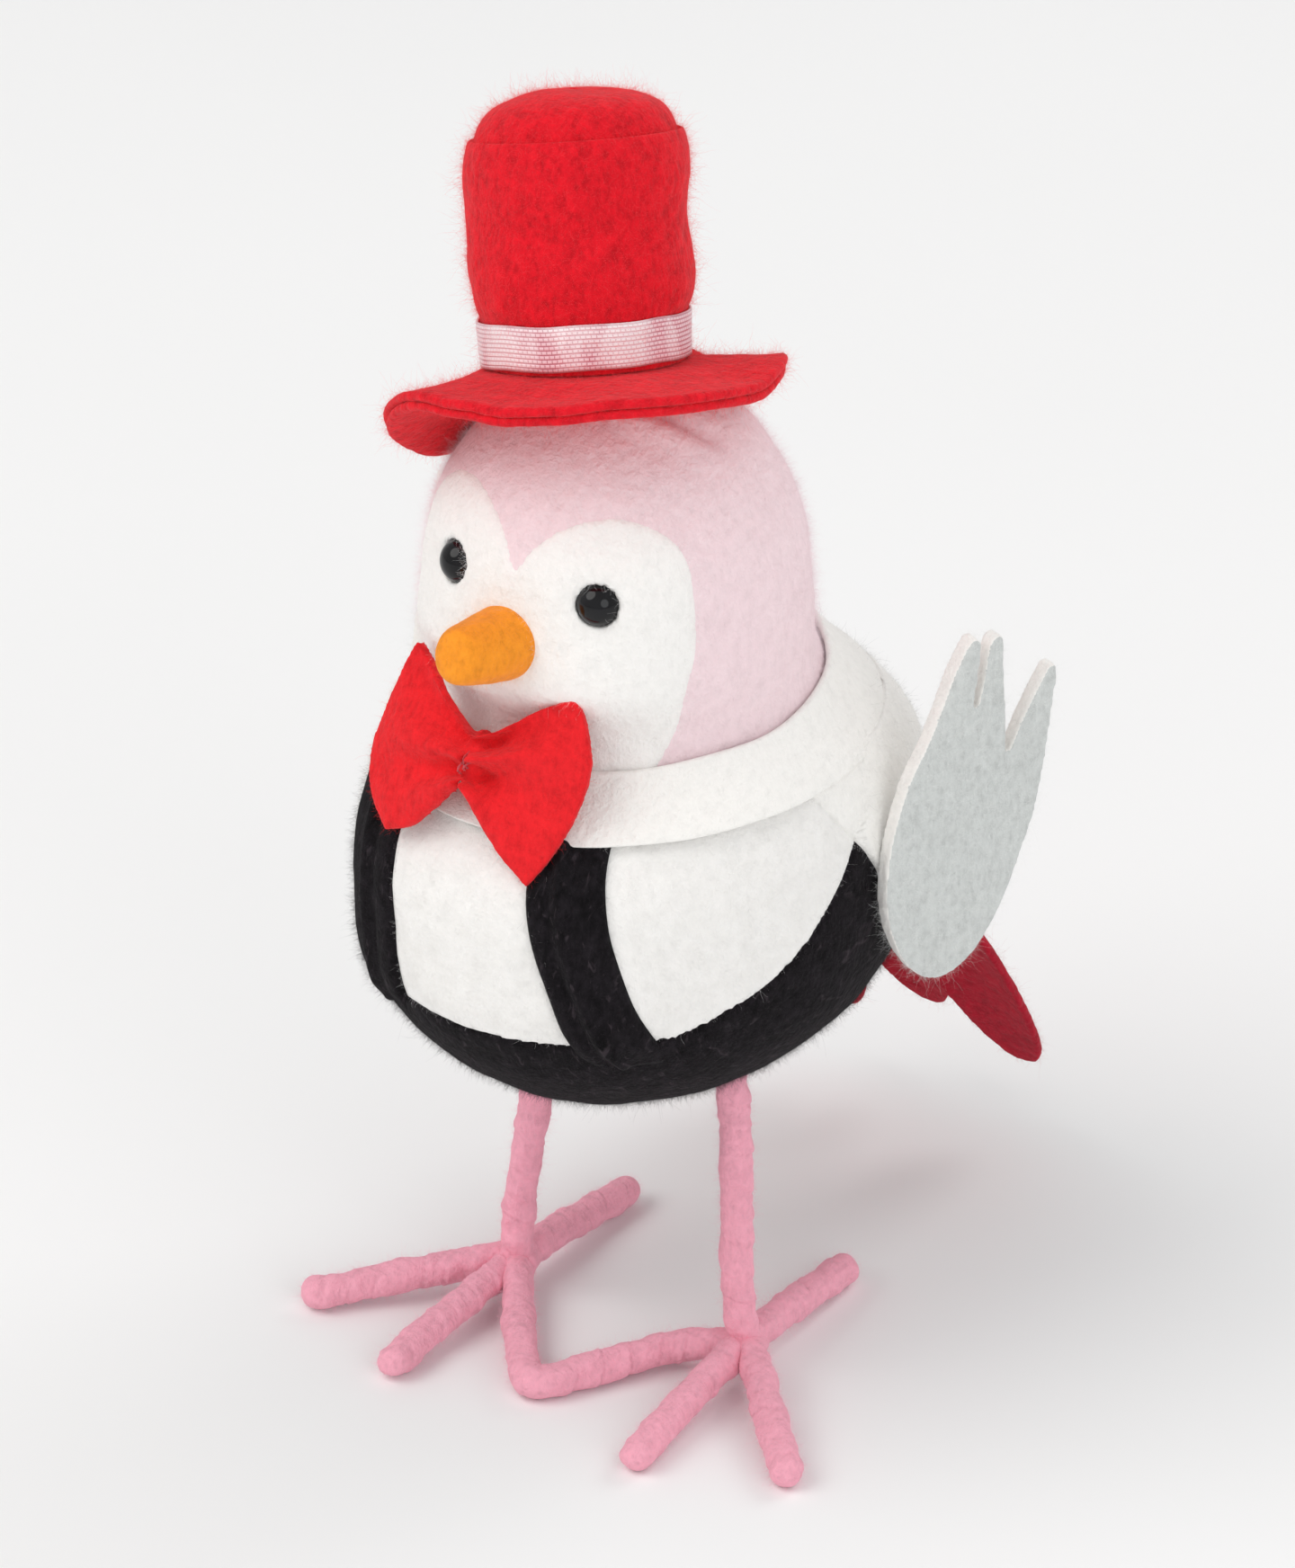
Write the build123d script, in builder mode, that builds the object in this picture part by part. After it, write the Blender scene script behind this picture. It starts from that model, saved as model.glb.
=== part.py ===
"""Stuffed felt songbird in a top hat, standing on two wrapped-wire legs.

Millimetres. The bird faces -Y, +X is the bird's left, +Z is up and the ground is z = 0.
Its head and legs stand on an upright axis, placed at AXIS_X and AXIS_Y so that the origin is
under the middle of the whole bird, tail and wings included. Distances named "across" and
"deep" below are measured from that axis, to the bird's left and to its back.
"""

import os

from build123d import *

os.makedirs("parts", exist_ok=True)

# ---------------------------------------------------------------- driving dimensions
AXIS_X = -3.7  # where the upright axis stands
AXIS_Y = -23.7
FLEECE = 1.2  # thickness of the sewn skins
FELT = 1.5  # thickness of a cut felt piece
GAP = 0.05  # space between two pieces that are sewn or glued together
CLEAR = 0.3  # space round a piece that moves
FIT = 0.05  # radial clearance of a thread or wire in its hole

# Stuffed body and head: height, depth of the middle, half width, half depth
OUTLINE = [
    (47.0, 4.5, 8.0, 9.0),
    (48.4, 4.5, 15.5, 17.5),
    (52.4, 4.7, 23.2, 26.3),
    (58.2, 5.0, 29.6, 34.0),
    (65.0, 5.7, 34.0, 39.8),
    (73.0, 6.3, 36.0, 42.8),
    (81.5, 6.3, 36.3, 42.8),
    (89.5, 6.4, 35.6, 41.2),
    (96.0, 6.3, 33.6, 36.2),
    (102.0, 6.0, 29.6, 29.6),
    (108.0, 3.8, 26.7, 25.6),
    (114.0, 0.9, 26.6, 25.6),
    (121.0, 0.4, 26.5, 25.6),
    (129.0, 0.5, 25.7, 24.3),
    (137.0, 0.7, 22.4, 21.8),
    (144.0, 0.8, 17.2, 16.8),
    (149.2, 0.5, 10.4, 10.2),
    (151.4, 0.2, 4.0, 4.0),
]

# Levels and tilts of the lines that divide the skins: height at the axis, rise per mm back
NECK_SEAM = (101.5, 0.10)
COLLAR_TOP = (107.4, 0.15)
COLLAR_FOOT = (98.6, 0.06)
COLLAR_THICK = 1.9
WAIST = 69.0

# Top hat: its base stands on the head, leaning back and to the bird's right
HAT_BASE = (-2.9, -2.2, 150.2)
HAT_LEAN = Vector(-0.21, 0.227, 1.0)
BRIM_RADIUS = 26.0
BRIM_LAYER = 1.25
CROWN_FOOT_RADIUS = 13.5
CROWN_TOP_RADIUS = 14.9
CROWN_HEIGHT = 29.8
CROWN_WALL = 1.3
DOME_INSET = 0.6  # dome's edge, inside the crown's rim
DOME_SHOULDER = (1.0, 2.6)  # inset and height of the dome's round shoulder
DOME_RISE = 5.8
RIBBON_LIFT = 0.3
RIBBON_WIDE = 6.0
RIBBON_THICK = 0.4

# White mask: two round lobes that meet in a peak over the beak, and run down under the collar
MASK_PEAK = (0.0, 129.6)
MASK_LOBE = [(3.5, 136.6), (10.5, 139.6), (18.6, 135.6), (21.5, 127.0), (21.4, 117.0), (18.5, 108.0)]
MASK_FOOT = (16.0, 98.0)

# White shirt front: all that lies ahead of a line that climbs from the waist to the neck
OPENING = [
    (-28.0, WAIST),
    (-18.0, 72.0),
    (-10.0, 75.9),
    (-3.0, 81.4),
    (3.0, 87.8),
    (9.0, 97.0),
    (13.0, 110.0),
]

# Straps from waist to collar: inner and outer edge and height, at the foot and at the head
STRAP_FOOT = WAIST - 2.0
STRAP_HEAD = 106.0
STRAP_EDGES = {"left": ((16.0, 24.6), (7.6, 15.4)), "right": ((10.8, 23.5), (15.2, 26.0))}

# Bow tie: one felt piece gathered in the middle; it leans forward from neck to chest,
# and its two halves sweep back from the gathering
BOW_KNOT = (-2.6, -30.7, 106.3)
BOW_SLOPE = Vector(0, -0.38, -0.925).normalized()  # down its face
BOW_SWEEP = 15.0  # degrees that each half turns back
BOW_THICK = 2.6
BOW_HALF = [  # outline of a half: distance to the side and down
    (0.0, -2.6),
    (4.4, -5.2),
    (12.9, -11.8),
    (16.8, -3.8),
    (16.6, 4.4),
    (11.6, 13.4),
    (4.0, 5.2),
    (0.0, 3.0),
]
GATHER_RADIUS = 2.9  # bunched felt that joins the bow to the collar
GATHER_DEEP = 9.0
STITCHES = [(-0.9, 1.2, 20, 0), (0.3, -0.2, -25, 0), (1.1, 1.0, 60, 1)]  # across, down, turn, layer
STITCH_LONG = 2.6
STITCH_RADIUS = 0.25
STITCH_LAYER = 0.55

# Beak: centre, half width and half height of each section, from inside the head to the blunt tip
BEAK = [
    ((-0.4, -20.5, 121.8), 4.8, 4.9),
    ((-1.2, -28.0, 122.4), 4.8, 4.6),
    ((-2.4, -34.0, 123.2), 3.2, 3.5),
]
BEAK_ROUND = 1.4

EYE_RADIUS = 3.1
EYE_ACROSS = 10.9
EYE_DEEP = -19.7
EYE_UP = 128.8
SHANK_RADIUS = 0.8
SHANK_LONG = 6.0
SHANK_RUN = (-0.38, 0.92)  # its way into the head, inwards and back

# Wings: felt plates stitched to the flanks along an upright root
WING_THICK = 2.6
WING_ROOT = (39.7, 6.4, 84.0)  # half width, depth and height of the outer face's root
WING_FLARE = {1: 65.0, -1: 82.0}  # left and right: bearing of the outer face, degrees from straight ahead
STITCH_BACK = 1.7  # root edge to the stitching thread
STITCH_HALF = (-12.4, 11.8)  # lower and upper end of the stitching, over the root's middle
STITCH_REACH = 9.0
THREAD_RADIUS = 0.5
WING_NOTCH = 2.1  # radius of the room left in the plate where the thread turns into the body
THREAD_TURN = Vector(0, 0, 0.9)
WING_OUTLINE = [  # distance back along the plate, height over the root's middle
    (0.0, 4.0),
    (3.6, 14.3),
    (8.6, 23.9),
    (11.6, 32.2),
    (13.6, 33.6),
    (14.0, 31.5),
    (13.3, 19.2),
    (15.4, 30.4),
    (17.2, 32.0),
    (18.4, 30.8),
    (18.6, 12.6),
    (25.0, 25.0),
    (26.3, 25.0),
    (25.7, 16.3),
    (23.6, 4.4),
    (19.3, -5.5),
    (15.0, -13.6),
    (8.6, -17.7),
    (2.9, -12.7),
    (0.0, -5.6),
]

# Tail: three felt feathers, stitched at the rump and hanging back and down
TAIL_ROOT = (48.6, 66.0)  # depth and height of the stitching
TAIL_DROP = 56.0  # degrees below level
FEATHER_LONG = 62.0
SIDE_DIP = 4.0  # degrees that the side feathers hang below the middle one
TAIL_THREAD = 0.4  # radius
TAIL_STITCH = 15.0  # half its length
TAIL_REACH = 12.0
TAIL_INWARD = Vector(0, -1, 0.15).normalized()
FEATHER_BUTT = -1.8  # root edge, behind the stitching
FEATHER_EDGE = [(4.2, FEATHER_BUTT), (8.3, 26.0), (6.6, 49.0), (0.0, FEATHER_LONG)]
SIDE_ROOT = 9.2
SIDE_FAN = {1: 7.5, -1: 3.2, 0: 0.0}  # degrees that each side's feather turns outwards

# Legs: steel wire wound with a fleece strip
WIRE_RADIUS = 0.6
WRAP_RADIUS = 2.3
HIP = (15.6, 5.0, 47.0)
ANKLE = (19.4, 2.6, 4.6)
HEEL_BACK = 2.0  # crossing wire's corner, behind the leg wire
KNOT_RADIUS = 4.3
OUTER_TOE = (40.0, -17.4, 2.15)
MIDDLE_TOE = (20.6, -25.6, 2.15)
BACK_TOE = (18.8, 29.8, 2.15)
TIP_COVER = 2.5  # wrap left beyond the wire's end
BRIDGE_BENDS = [(-1.6, -20.6, 2.3), (10.4, -0.4, 2.5)]
BRIDGE_RADII = [4.5, 5.0]
LEG_BEND = 2.2  # bend of the leg wire at the ankle
HEEL_BEND = 1.6
WIRE_STOP = 2.6  # bridge wire's ends, short of the leg wires
EXIT_RADIUS = WRAP_RADIUS + 0.9
EXIT_DEPTH = 8.0
SOCKET_RADIUS = WRAP_RADIUS + CLEAR
ANCHOR_LEVEL = 72.0  # top of the wire staple that anchors the legs
ANCHOR_END = SOCKET_RADIUS + 0.6
ANCHOR_BEND = 4.0
THREAD_BEND = 1.2
HOLE_DEEPER = 1.0  # thread holes, past the thread's end
FRONT = 60.0  # how far the cutting shapes reach


def at(across, deep, up):
    """Point given by its distance to the bird's left, its depth from the axis and its height."""
    return Vector(AXIS_X + across, AXIS_Y + deep, up)


def stacked_body(inset):
    """Closed solid through the outline's ellipses, drawn in (or, if negative, let out) by inset."""
    middle = (OUTLINE[0][0] + OUTLINE[-1][0]) / 2
    squeeze = 1 - inset / (OUTLINE[-1][0] - middle)
    with BuildPart() as body:
        for up, deep, half_wide, half_deep in OUTLINE:
            level = middle + (up - middle) * squeeze
            with BuildSketch(Plane(at(0, deep, level))):
                Ellipse(half_wide - inset, half_deep - inset)
        loft()
    return body.part


def seam_plane(line):
    """Plane of a seam that rises towards the back, its normal pointing up."""
    level, rise = line
    return Plane(at(0, 0, level), x_dir=(1, 0, 0), z_dir=(0, -rise, 1))


def rod(start, end, radius):
    """Round bar between two points."""
    run = end - start
    with BuildPart() as bar:
        with BuildSketch(Plane(start, z_dir=run)):
            Circle(radius)
        extrude(amount=run.length)
    return bar.part


def ball(centre, radius):
    """Solid sphere."""
    with BuildPart() as sphere:
        with Locations(centre):
            Sphere(radius)
    return sphere.part


def bent_rod(points, radii, radius):
    """Round bar along straight runs joined by arcs."""
    with BuildPart() as bar:
        with BuildLine() as path:
            FilletPolyline(*points, radius=radii)
        with BuildSketch(Plane(points[0], z_dir=points[1] - points[0])):
            Circle(radius)
        sweep()
    return bar.part


hat_plane = Plane(at(*HAT_BASE), x_dir=(1, 0, 0), z_dir=HAT_LEAN)
neck_plane = seam_plane(NECK_SEAM)
front_view = Plane(at(0, 0, 0), x_dir=(1, 0, 0), z_dir=(0, -1, 0))

# ---------------------------------------------------------------- wires and threads that enter the body
hips = {side: at(sign * HIP[0], *HIP[1:]) for side, sign in (("left", 1), ("right", -1))}
anchor_points = [
    hips["left"] + (0, 0, ANCHOR_END),
    Vector(hips["left"].X, hips["left"].Y, ANCHOR_LEVEL),
    Vector(hips["right"].X, hips["right"].Y, ANCHOR_LEVEL),
    hips["right"] + (0, 0, ANCHOR_END),
]
anchor_slot = bent_rod(anchor_points, ANCHOR_BEND, WIRE_RADIUS + FIT)

with BuildPart() as leg_anchor_wire:
    add(bent_rod(anchor_points, ANCHOR_BEND, WIRE_RADIUS))
leg_anchor_wire.part.label = "leg_anchor_wire"
export_step(leg_anchor_wire.part, "parts/leg_anchor_wire.step")


def staple(ends, inward, reach, radius):
    """Thread: a straight stitch between two ends, each turned into the body."""
    first, last = ends
    points = [first + inward * reach, first, last, last + inward * reach]
    return bent_rod(points, THREAD_BEND, radius)


def wing_plane(sign):
    """Plane of a wing's outer face: x runs back and outwards, y runs up."""
    turn = sign * WING_FLARE[sign]
    outward = Vector(0, -1, 0).rotate(Axis.Z, turn)
    root = at(sign * WING_ROOT[0], WING_ROOT[1], WING_ROOT[2])
    return Plane(root, x_dir=Vector(0, 0, 1).cross(outward) * sign, z_dir=outward)


wing_threads = {}
for side, sign in (("left", 1), ("right", -1)):
    plate = wing_plane(sign)
    middle = plate.origin + plate.x_dir * STITCH_BACK - plate.z_dir * (WING_THICK / 2)
    ends = [middle + Vector(0, 0, height) for height in STITCH_HALF]
    wing_threads[side] = (ends, plate.z_dir * -1)

tail_ends = [at(sign * TAIL_STITCH, *TAIL_ROOT) for sign in (1, -1)]

# ---------------------------------------------------------------- stuffed core and sewn skins
outer = stacked_body(0)
lining = stacked_body(FLEECE)


def cut_body_holes():
    """Hip sockets, leg exits and thread holes, cut from the piece being built."""
    for hip in hips.values():
        add(ball(hip, SOCKET_RADIUS), mode=Mode.SUBTRACT)
        add(rod(hip - (0, 0, EXIT_DEPTH), hip, EXIT_RADIUS), mode=Mode.SUBTRACT)
    for ends, inward in wing_threads.values():
        add(staple(ends, inward, STITCH_REACH + HOLE_DEEPER, THREAD_RADIUS + FIT), mode=Mode.SUBTRACT)
    add(staple(tail_ends, TAIL_INWARD, TAIL_REACH + HOLE_DEEPER, TAIL_THREAD + FIT), mode=Mode.SUBTRACT)


def cut_eye_holes():
    """Seats of the eye beads and their shanks, cut from the piece being built."""
    for sign in (1, -1):
        add(eye_solid(sign, FIT), mode=Mode.SUBTRACT)


def eye_solid(sign, grow):
    """Bead and shank of one eye, let out by grow."""
    centre = at(sign * EYE_ACROSS, EYE_DEEP, EYE_UP)
    inwards, back = SHANK_RUN
    shank_end = centre + Vector(sign * inwards, back, 0) * (EYE_RADIUS + SHANK_LONG + grow)
    with BuildPart() as eye:
        add(ball(centre, EYE_RADIUS + grow))
        add(rod(centre, shank_end, SHANK_RADIUS + grow))
    return eye.part


with BuildPart() as stuffing:
    add(stacked_body(FLEECE + GAP))
    split(bisect_by=hat_plane.offset(-FLEECE - GAP), keep=Keep.BOTTOM)
    cut_body_holes()
    cut_eye_holes()
    add(anchor_slot, mode=Mode.SUBTRACT)
stuffing.part.label = "stuffing"
export_step(stuffing.part, "parts/stuffing.step")

with BuildPart() as mask_prism:
    with BuildSketch(front_view):
        with BuildLine():
            Spline(MASK_PEAK, *MASK_LOBE, MASK_FOOT)
            Line(MASK_FOOT, (0, MASK_FOOT[1]))
            Line((0, MASK_FOOT[1]), MASK_PEAK)
        make_face()
        mirror(about=Plane.YZ)
    extrude(amount=FRONT)

with BuildPart() as opening_prism:
    with BuildSketch(Plane.YZ.offset(-FRONT)):
        with BuildLine():
            corner = [(AXIS_Y + deep, up) for deep, up in OPENING]
            first = (AXIS_Y - FRONT, WAIST)
            top = (AXIS_Y - FRONT, corner[-1][1])
            Line(first, corner[0])
            Spline(*corner, tangents=[(1, 0), (0.3, 1)])
            Line(corner[-1], top)
            Line(top, first)
        make_face()
    extrude(amount=2 * FRONT)

with BuildPart() as head_skin:
    add(outer)
    add(lining, mode=Mode.SUBTRACT)
    split(bisect_by=neck_plane, keep=Keep.TOP)
    split(bisect_by=hat_plane, keep=Keep.BOTTOM)
    add(mask_prism.part, mode=Mode.SUBTRACT)
head_skin.part.label = "head_skin"
export_step(head_skin.part, "parts/head_skin.step")

with BuildPart() as face_mask:
    add(outer)
    add(lining, mode=Mode.SUBTRACT)
    split(bisect_by=neck_plane, keep=Keep.TOP)
    add(mask_prism.part, mode=Mode.INTERSECT)
    cut_eye_holes()
face_mask.part.label = "face_mask"
export_step(face_mask.part, "parts/face_mask.step")

with BuildPart() as shirt:
    add(outer)
    add(lining, mode=Mode.SUBTRACT)
    split(bisect_by=neck_plane, keep=Keep.BOTTOM)
    add(opening_prism.part, mode=Mode.INTERSECT)
    cut_body_holes()
shirt.part.label = "shirt"
export_step(shirt.part, "parts/shirt.step")

with BuildPart() as trousers:
    add(outer)
    add(lining, mode=Mode.SUBTRACT)
    split(bisect_by=neck_plane, keep=Keep.BOTTOM)
    add(opening_prism.part, mode=Mode.SUBTRACT)
    cut_body_holes()
trousers.part.label = "trousers"
export_step(trousers.part, "parts/trousers.step")

# ---------------------------------------------------------------- collar, straps and bow tie
with BuildPart() as collar:
    add(stacked_body(-COLLAR_THICK))
    add(stacked_body(-GAP), mode=Mode.SUBTRACT)
    split(bisect_by=seam_plane(COLLAR_TOP), keep=Keep.BOTTOM)
    split(bisect_by=seam_plane(COLLAR_FOOT), keep=Keep.TOP)
collar.part.label = "collar"
export_step(collar.part, "parts/collar.step")

for side, sign in (("left", 1), ("right", -1)):
    (inner_foot, outer_foot), (inner_head, outer_head) = STRAP_EDGES[side]
    edges = [
        (inner_foot, STRAP_FOOT),
        (outer_foot, STRAP_FOOT),
        (outer_head, STRAP_HEAD),
        (inner_head, STRAP_HEAD),
    ]
    with BuildPart() as strap:
        with BuildSketch(front_view):
            Polygon(*[(sign * across, up) for across, up in edges], align=None)
        extrude(amount=FRONT)
        add(stacked_body(-FELT), mode=Mode.INTERSECT)
        add(stacked_body(-GAP), mode=Mode.SUBTRACT)
        split(bisect_by=seam_plane((COLLAR_FOOT[0] - GAP, COLLAR_FOOT[1])), keep=Keep.BOTTOM)
    strap.part.label = f"{side}_strap"
    export_step(strap.part, f"parts/{side}_strap.step")

bow_knot = at(*BOW_KNOT)
bow_plane = Plane(bow_knot, x_dir=(1, 0, 0), z_dir=Vector(1, 0, 0).cross(BOW_SLOPE * -1))
with BuildPart() as bow_tie:
    for sign in (1, -1):
        half_plane = Plane(
            bow_knot,
            x_dir=bow_plane.x_dir.rotate(Axis((0, 0, 0), BOW_SLOPE), -sign * BOW_SWEEP),
            z_dir=bow_plane.z_dir.rotate(Axis((0, 0, 0), BOW_SLOPE), -sign * BOW_SWEEP),
        )
        with BuildSketch(half_plane):
            Polygon(*[(sign * across, -down) for across, down in BOW_HALF], align=None)
        extrude(amount=BOW_THICK / 2, both=True)
    add(rod(bow_knot, bow_knot - bow_plane.z_dir * GATHER_DEEP, GATHER_RADIUS))
    add(stacked_body(-COLLAR_THICK - GAP), mode=Mode.SUBTRACT)
bow_tie.part.label = "bow_tie"
export_step(bow_tie.part, "parts/bow_tie.step")

with BuildPart() as bow_thread:
    for across, down, turn, layer in STITCHES:
        half = Vector(STITCH_LONG / 2, 0, 0).rotate(Axis.Z, turn)
        middle = Vector(across, -down, BOW_THICK / 2 + STITCH_RADIUS + GAP + STITCH_LAYER * layer)
        start = bow_plane.from_local_coords(middle - half)
        end = bow_plane.from_local_coords(middle + half)
        add(rod(start, end, STITCH_RADIUS))
bow_thread.part.label = "bow_thread"
export_step(bow_thread.part, "parts/bow_thread.step")

# ---------------------------------------------------------------- face
with BuildPart() as beak:
    for centre, half_wide, half_high in BEAK:
        with BuildSketch(Plane(at(*centre), x_dir=(1, 0, 0), z_dir=(0, -1, 0))):
            Ellipse(half_wide, half_high)
    loft()
    fillet(beak.edges().sort_by(Axis.Y)[0], BEAK_ROUND)
    add(stacked_body(-GAP), mode=Mode.SUBTRACT)
beak.part.label = "beak"
export_step(beak.part, "parts/beak.step")

for side, sign in (("left", 1), ("right", -1)):
    with BuildPart() as eye:
        add(eye_solid(sign, 0))
    eye.part.label = f"{side}_eye"
    export_step(eye.part, f"parts/{side}_eye.step")

# ---------------------------------------------------------------- top hat
brim_top = 2 * BRIM_LAYER + GAP
for name, foot in (("brim_lower", GAP), ("brim_upper", BRIM_LAYER + GAP)):
    with BuildPart() as brim:
        with BuildSketch(hat_plane.offset(foot)):
            Circle(BRIM_RADIUS)
        extrude(amount=BRIM_LAYER)
    brim.part.label = name
    export_step(brim.part, f"parts/{name}.step")

hat_side = Plane(hat_plane.origin, x_dir=hat_plane.x_dir, z_dir=hat_plane.x_dir.cross(hat_plane.z_dir))
hat_axis = Axis(hat_plane.origin, hat_plane.z_dir)
crown_foot = brim_top + GAP
crown_head = crown_foot + CROWN_HEIGHT


def ring(profile):
    """Solid of revolution about the hat's axis; profile points are radius and height."""
    with BuildPart() as turned:
        with BuildSketch(hat_side):
            Polygon(*profile, align=None)
        revolve(axis=hat_axis)
    return turned.part


def crown_radius(height):
    """Outer radius of the crown's wall, which widens upwards."""
    return CROWN_FOOT_RADIUS + (CROWN_TOP_RADIUS - CROWN_FOOT_RADIUS) * (height - crown_foot) / CROWN_HEIGHT


ribbon_foot = crown_foot + RIBBON_LIFT
ribbon_head = ribbon_foot + RIBBON_WIDE

with BuildPart() as hat_crown:
    add(ring([
        (CROWN_FOOT_RADIUS - CROWN_WALL, crown_foot),
        (CROWN_FOOT_RADIUS, crown_foot),
        (CROWN_TOP_RADIUS, crown_head),
        (CROWN_TOP_RADIUS - CROWN_WALL, crown_head),
    ]))
hat_crown.part.label = "hat_crown"
export_step(hat_crown.part, "parts/hat_crown.step")

with BuildPart() as hat_ribbon:
    add(ring([
        (crown_radius(ribbon_foot) + GAP, ribbon_foot),
        (crown_radius(ribbon_foot) + GAP + RIBBON_THICK, ribbon_foot),
        (crown_radius(ribbon_head) + GAP + RIBBON_THICK, ribbon_head),
        (crown_radius(ribbon_head) + GAP, ribbon_head),
    ]))
hat_ribbon.part.label = "hat_ribbon"
export_step(hat_ribbon.part, "parts/hat_ribbon.step")

# The crown's round top is sewn on inside the wall's upper edge and swells over it
dome_radius = CROWN_TOP_RADIUS - DOME_INSET
dome_foot = crown_head + GAP
with BuildPart() as hat_top:
    with BuildSketch(hat_side):
        with BuildLine():
            edge = (dome_radius, dome_foot)
            shoulder = (dome_radius - DOME_SHOULDER[0], crown_head + DOME_SHOULDER[1])
            peak = (0, crown_head + DOME_RISE)
            Line((0, dome_foot), edge)
            Spline(edge, shoulder, peak, tangents=[(0, 1), (-1, 0)])
            Line(peak, (0, dome_foot))
        make_face()
    revolve(axis=hat_axis)
hat_top.part.label = "hat_top"
export_step(hat_top.part, "parts/hat_top.step")

filling_foot = crown_foot + GAP
with BuildPart() as hat_filling:
    add(ring([
        (0, filling_foot),
        (CROWN_FOOT_RADIUS - CROWN_WALL - GAP, filling_foot),
        (CROWN_TOP_RADIUS - CROWN_WALL - GAP, crown_head - GAP),
        (0, crown_head - GAP),
    ]))
hat_filling.part.label = "hat_filling"
export_step(hat_filling.part, "parts/hat_filling.step")

# ---------------------------------------------------------------- wings
for side, sign in (("left", 1), ("right", -1)):
    plate = wing_plane(sign)
    ends, inward = wing_threads[side]
    with BuildPart() as wing:
        with BuildSketch(plate):
            Polygon(*[(back, sign * up) for back, up in WING_OUTLINE], align=None)
        extrude(amount=-WING_THICK)
        add(rod(ends[0], ends[1], THREAD_RADIUS + FIT), mode=Mode.SUBTRACT)
        for end, beyond in zip(ends, (-THREAD_TURN, THREAD_TURN)):
            add(rod(end - beyond, end + beyond, WING_NOTCH), mode=Mode.SUBTRACT)
    wing.part.label = f"{side}_wing"
    export_step(wing.part, f"parts/{side}_wing.step")

    with BuildPart() as wing_thread:
        add(staple(ends, inward, STITCH_REACH, THREAD_RADIUS))
    wing_thread.part.label = f"{side}_wing_thread"
    export_step(wing_thread.part, f"parts/{side}_wing_thread.step")

# ---------------------------------------------------------------- tail
def feather(sign, thick):
    """One felt feather: the middle one (sign 0) or the one on the given side."""
    normal = Vector(0, 0, 1).rotate(Axis.X, -(TAIL_DROP + SIDE_DIP * abs(sign)))
    across = Vector(1, 0, 0).rotate(Axis((0, 0, 0), normal), -sign * SIDE_FAN[sign])
    with BuildPart() as leaf:
        with BuildSketch(Plane(at(sign * SIDE_ROOT, *TAIL_ROOT), x_dir=across, z_dir=normal)):
            with BuildLine():
                Line((0, FEATHER_BUTT), FEATHER_EDGE[0])
                Spline(*FEATHER_EDGE, tangents=[(0.25, 1), (-1, 0)])
                Line(FEATHER_EDGE[-1], (0, FEATHER_BUTT))
            make_face()
            mirror(about=Plane.YZ)
        extrude(amount=thick / 2, both=True)
    return leaf.part


for name, sign in (("middle", 0), ("left", 1), ("right", -1)):
    with BuildPart() as tail_feather:
        add(feather(sign, FELT))
        if sign == 0:
            for side_sign in (1, -1):
                add(feather(side_sign, FELT + 2 * GAP), mode=Mode.SUBTRACT)
        add(rod(tail_ends[0], tail_ends[1], TAIL_THREAD + FIT), mode=Mode.SUBTRACT)
    tail_feather.part.label = f"{name}_tail_feather"
    export_step(tail_feather.part, f"parts/{name}_tail_feather.step")

with BuildPart() as tail_thread:
    add(staple(tail_ends, TAIL_INWARD, TAIL_REACH, TAIL_THREAD))
tail_thread.part.label = "tail_thread"
export_step(tail_thread.part, "parts/tail_thread.step")

# ---------------------------------------------------------------- legs and feet
def short_of(tip, start, cover):
    """Point that stops short of a tip, on the way from start."""
    return tip - (tip - start).normalized() * cover


def wrapped(start, tip, round_end=True):
    """Wound tube between two points, with a rounded end."""
    with BuildPart() as tube:
        add(rod(start, tip, WRAP_RADIUS))
        if round_end:
            add(ball(tip, WRAP_RADIUS))
    return tube.part


feet = {}
for side, sign in (("left", 1), ("right", -1)):
    ankle, outer_tip, middle_tip, back_tip = (
        at(sign * across, deep, up) for across, deep, up in (ANKLE, OUTER_TOE, MIDDLE_TOE, BACK_TOE)
    )
    heel = ankle + (0, HEEL_BACK, 0)
    feet[side] = {
        "ankle": ankle,
        "knot": ball(ankle + (0, HEEL_BACK / 2, 0.4), KNOT_RADIUS),
        "leg_path": [hips[side], ankle, short_of(middle_tip, ankle, TIP_COVER)],
        "toe_path": [short_of(outer_tip, heel, TIP_COVER), heel, short_of(back_tip, heel, TIP_COVER)],
        "toes": {
            "middle": wrapped(ankle, middle_tip),
            "outer": wrapped(heel, outer_tip),
            "back": wrapped(heel, back_tip),
        },
        "leg": wrapped(ankle, hips[side]),
    }

left_foot, right_foot = feet["left"], feet["right"]
bends = [at(*bend) for bend in BRIDGE_BENDS]
bridge_path = [
    short_of(right_foot["ankle"], bends[0], WIRE_STOP),
    *bends,
    short_of(left_foot["ankle"], bends[1], WIRE_STOP),
]

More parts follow.
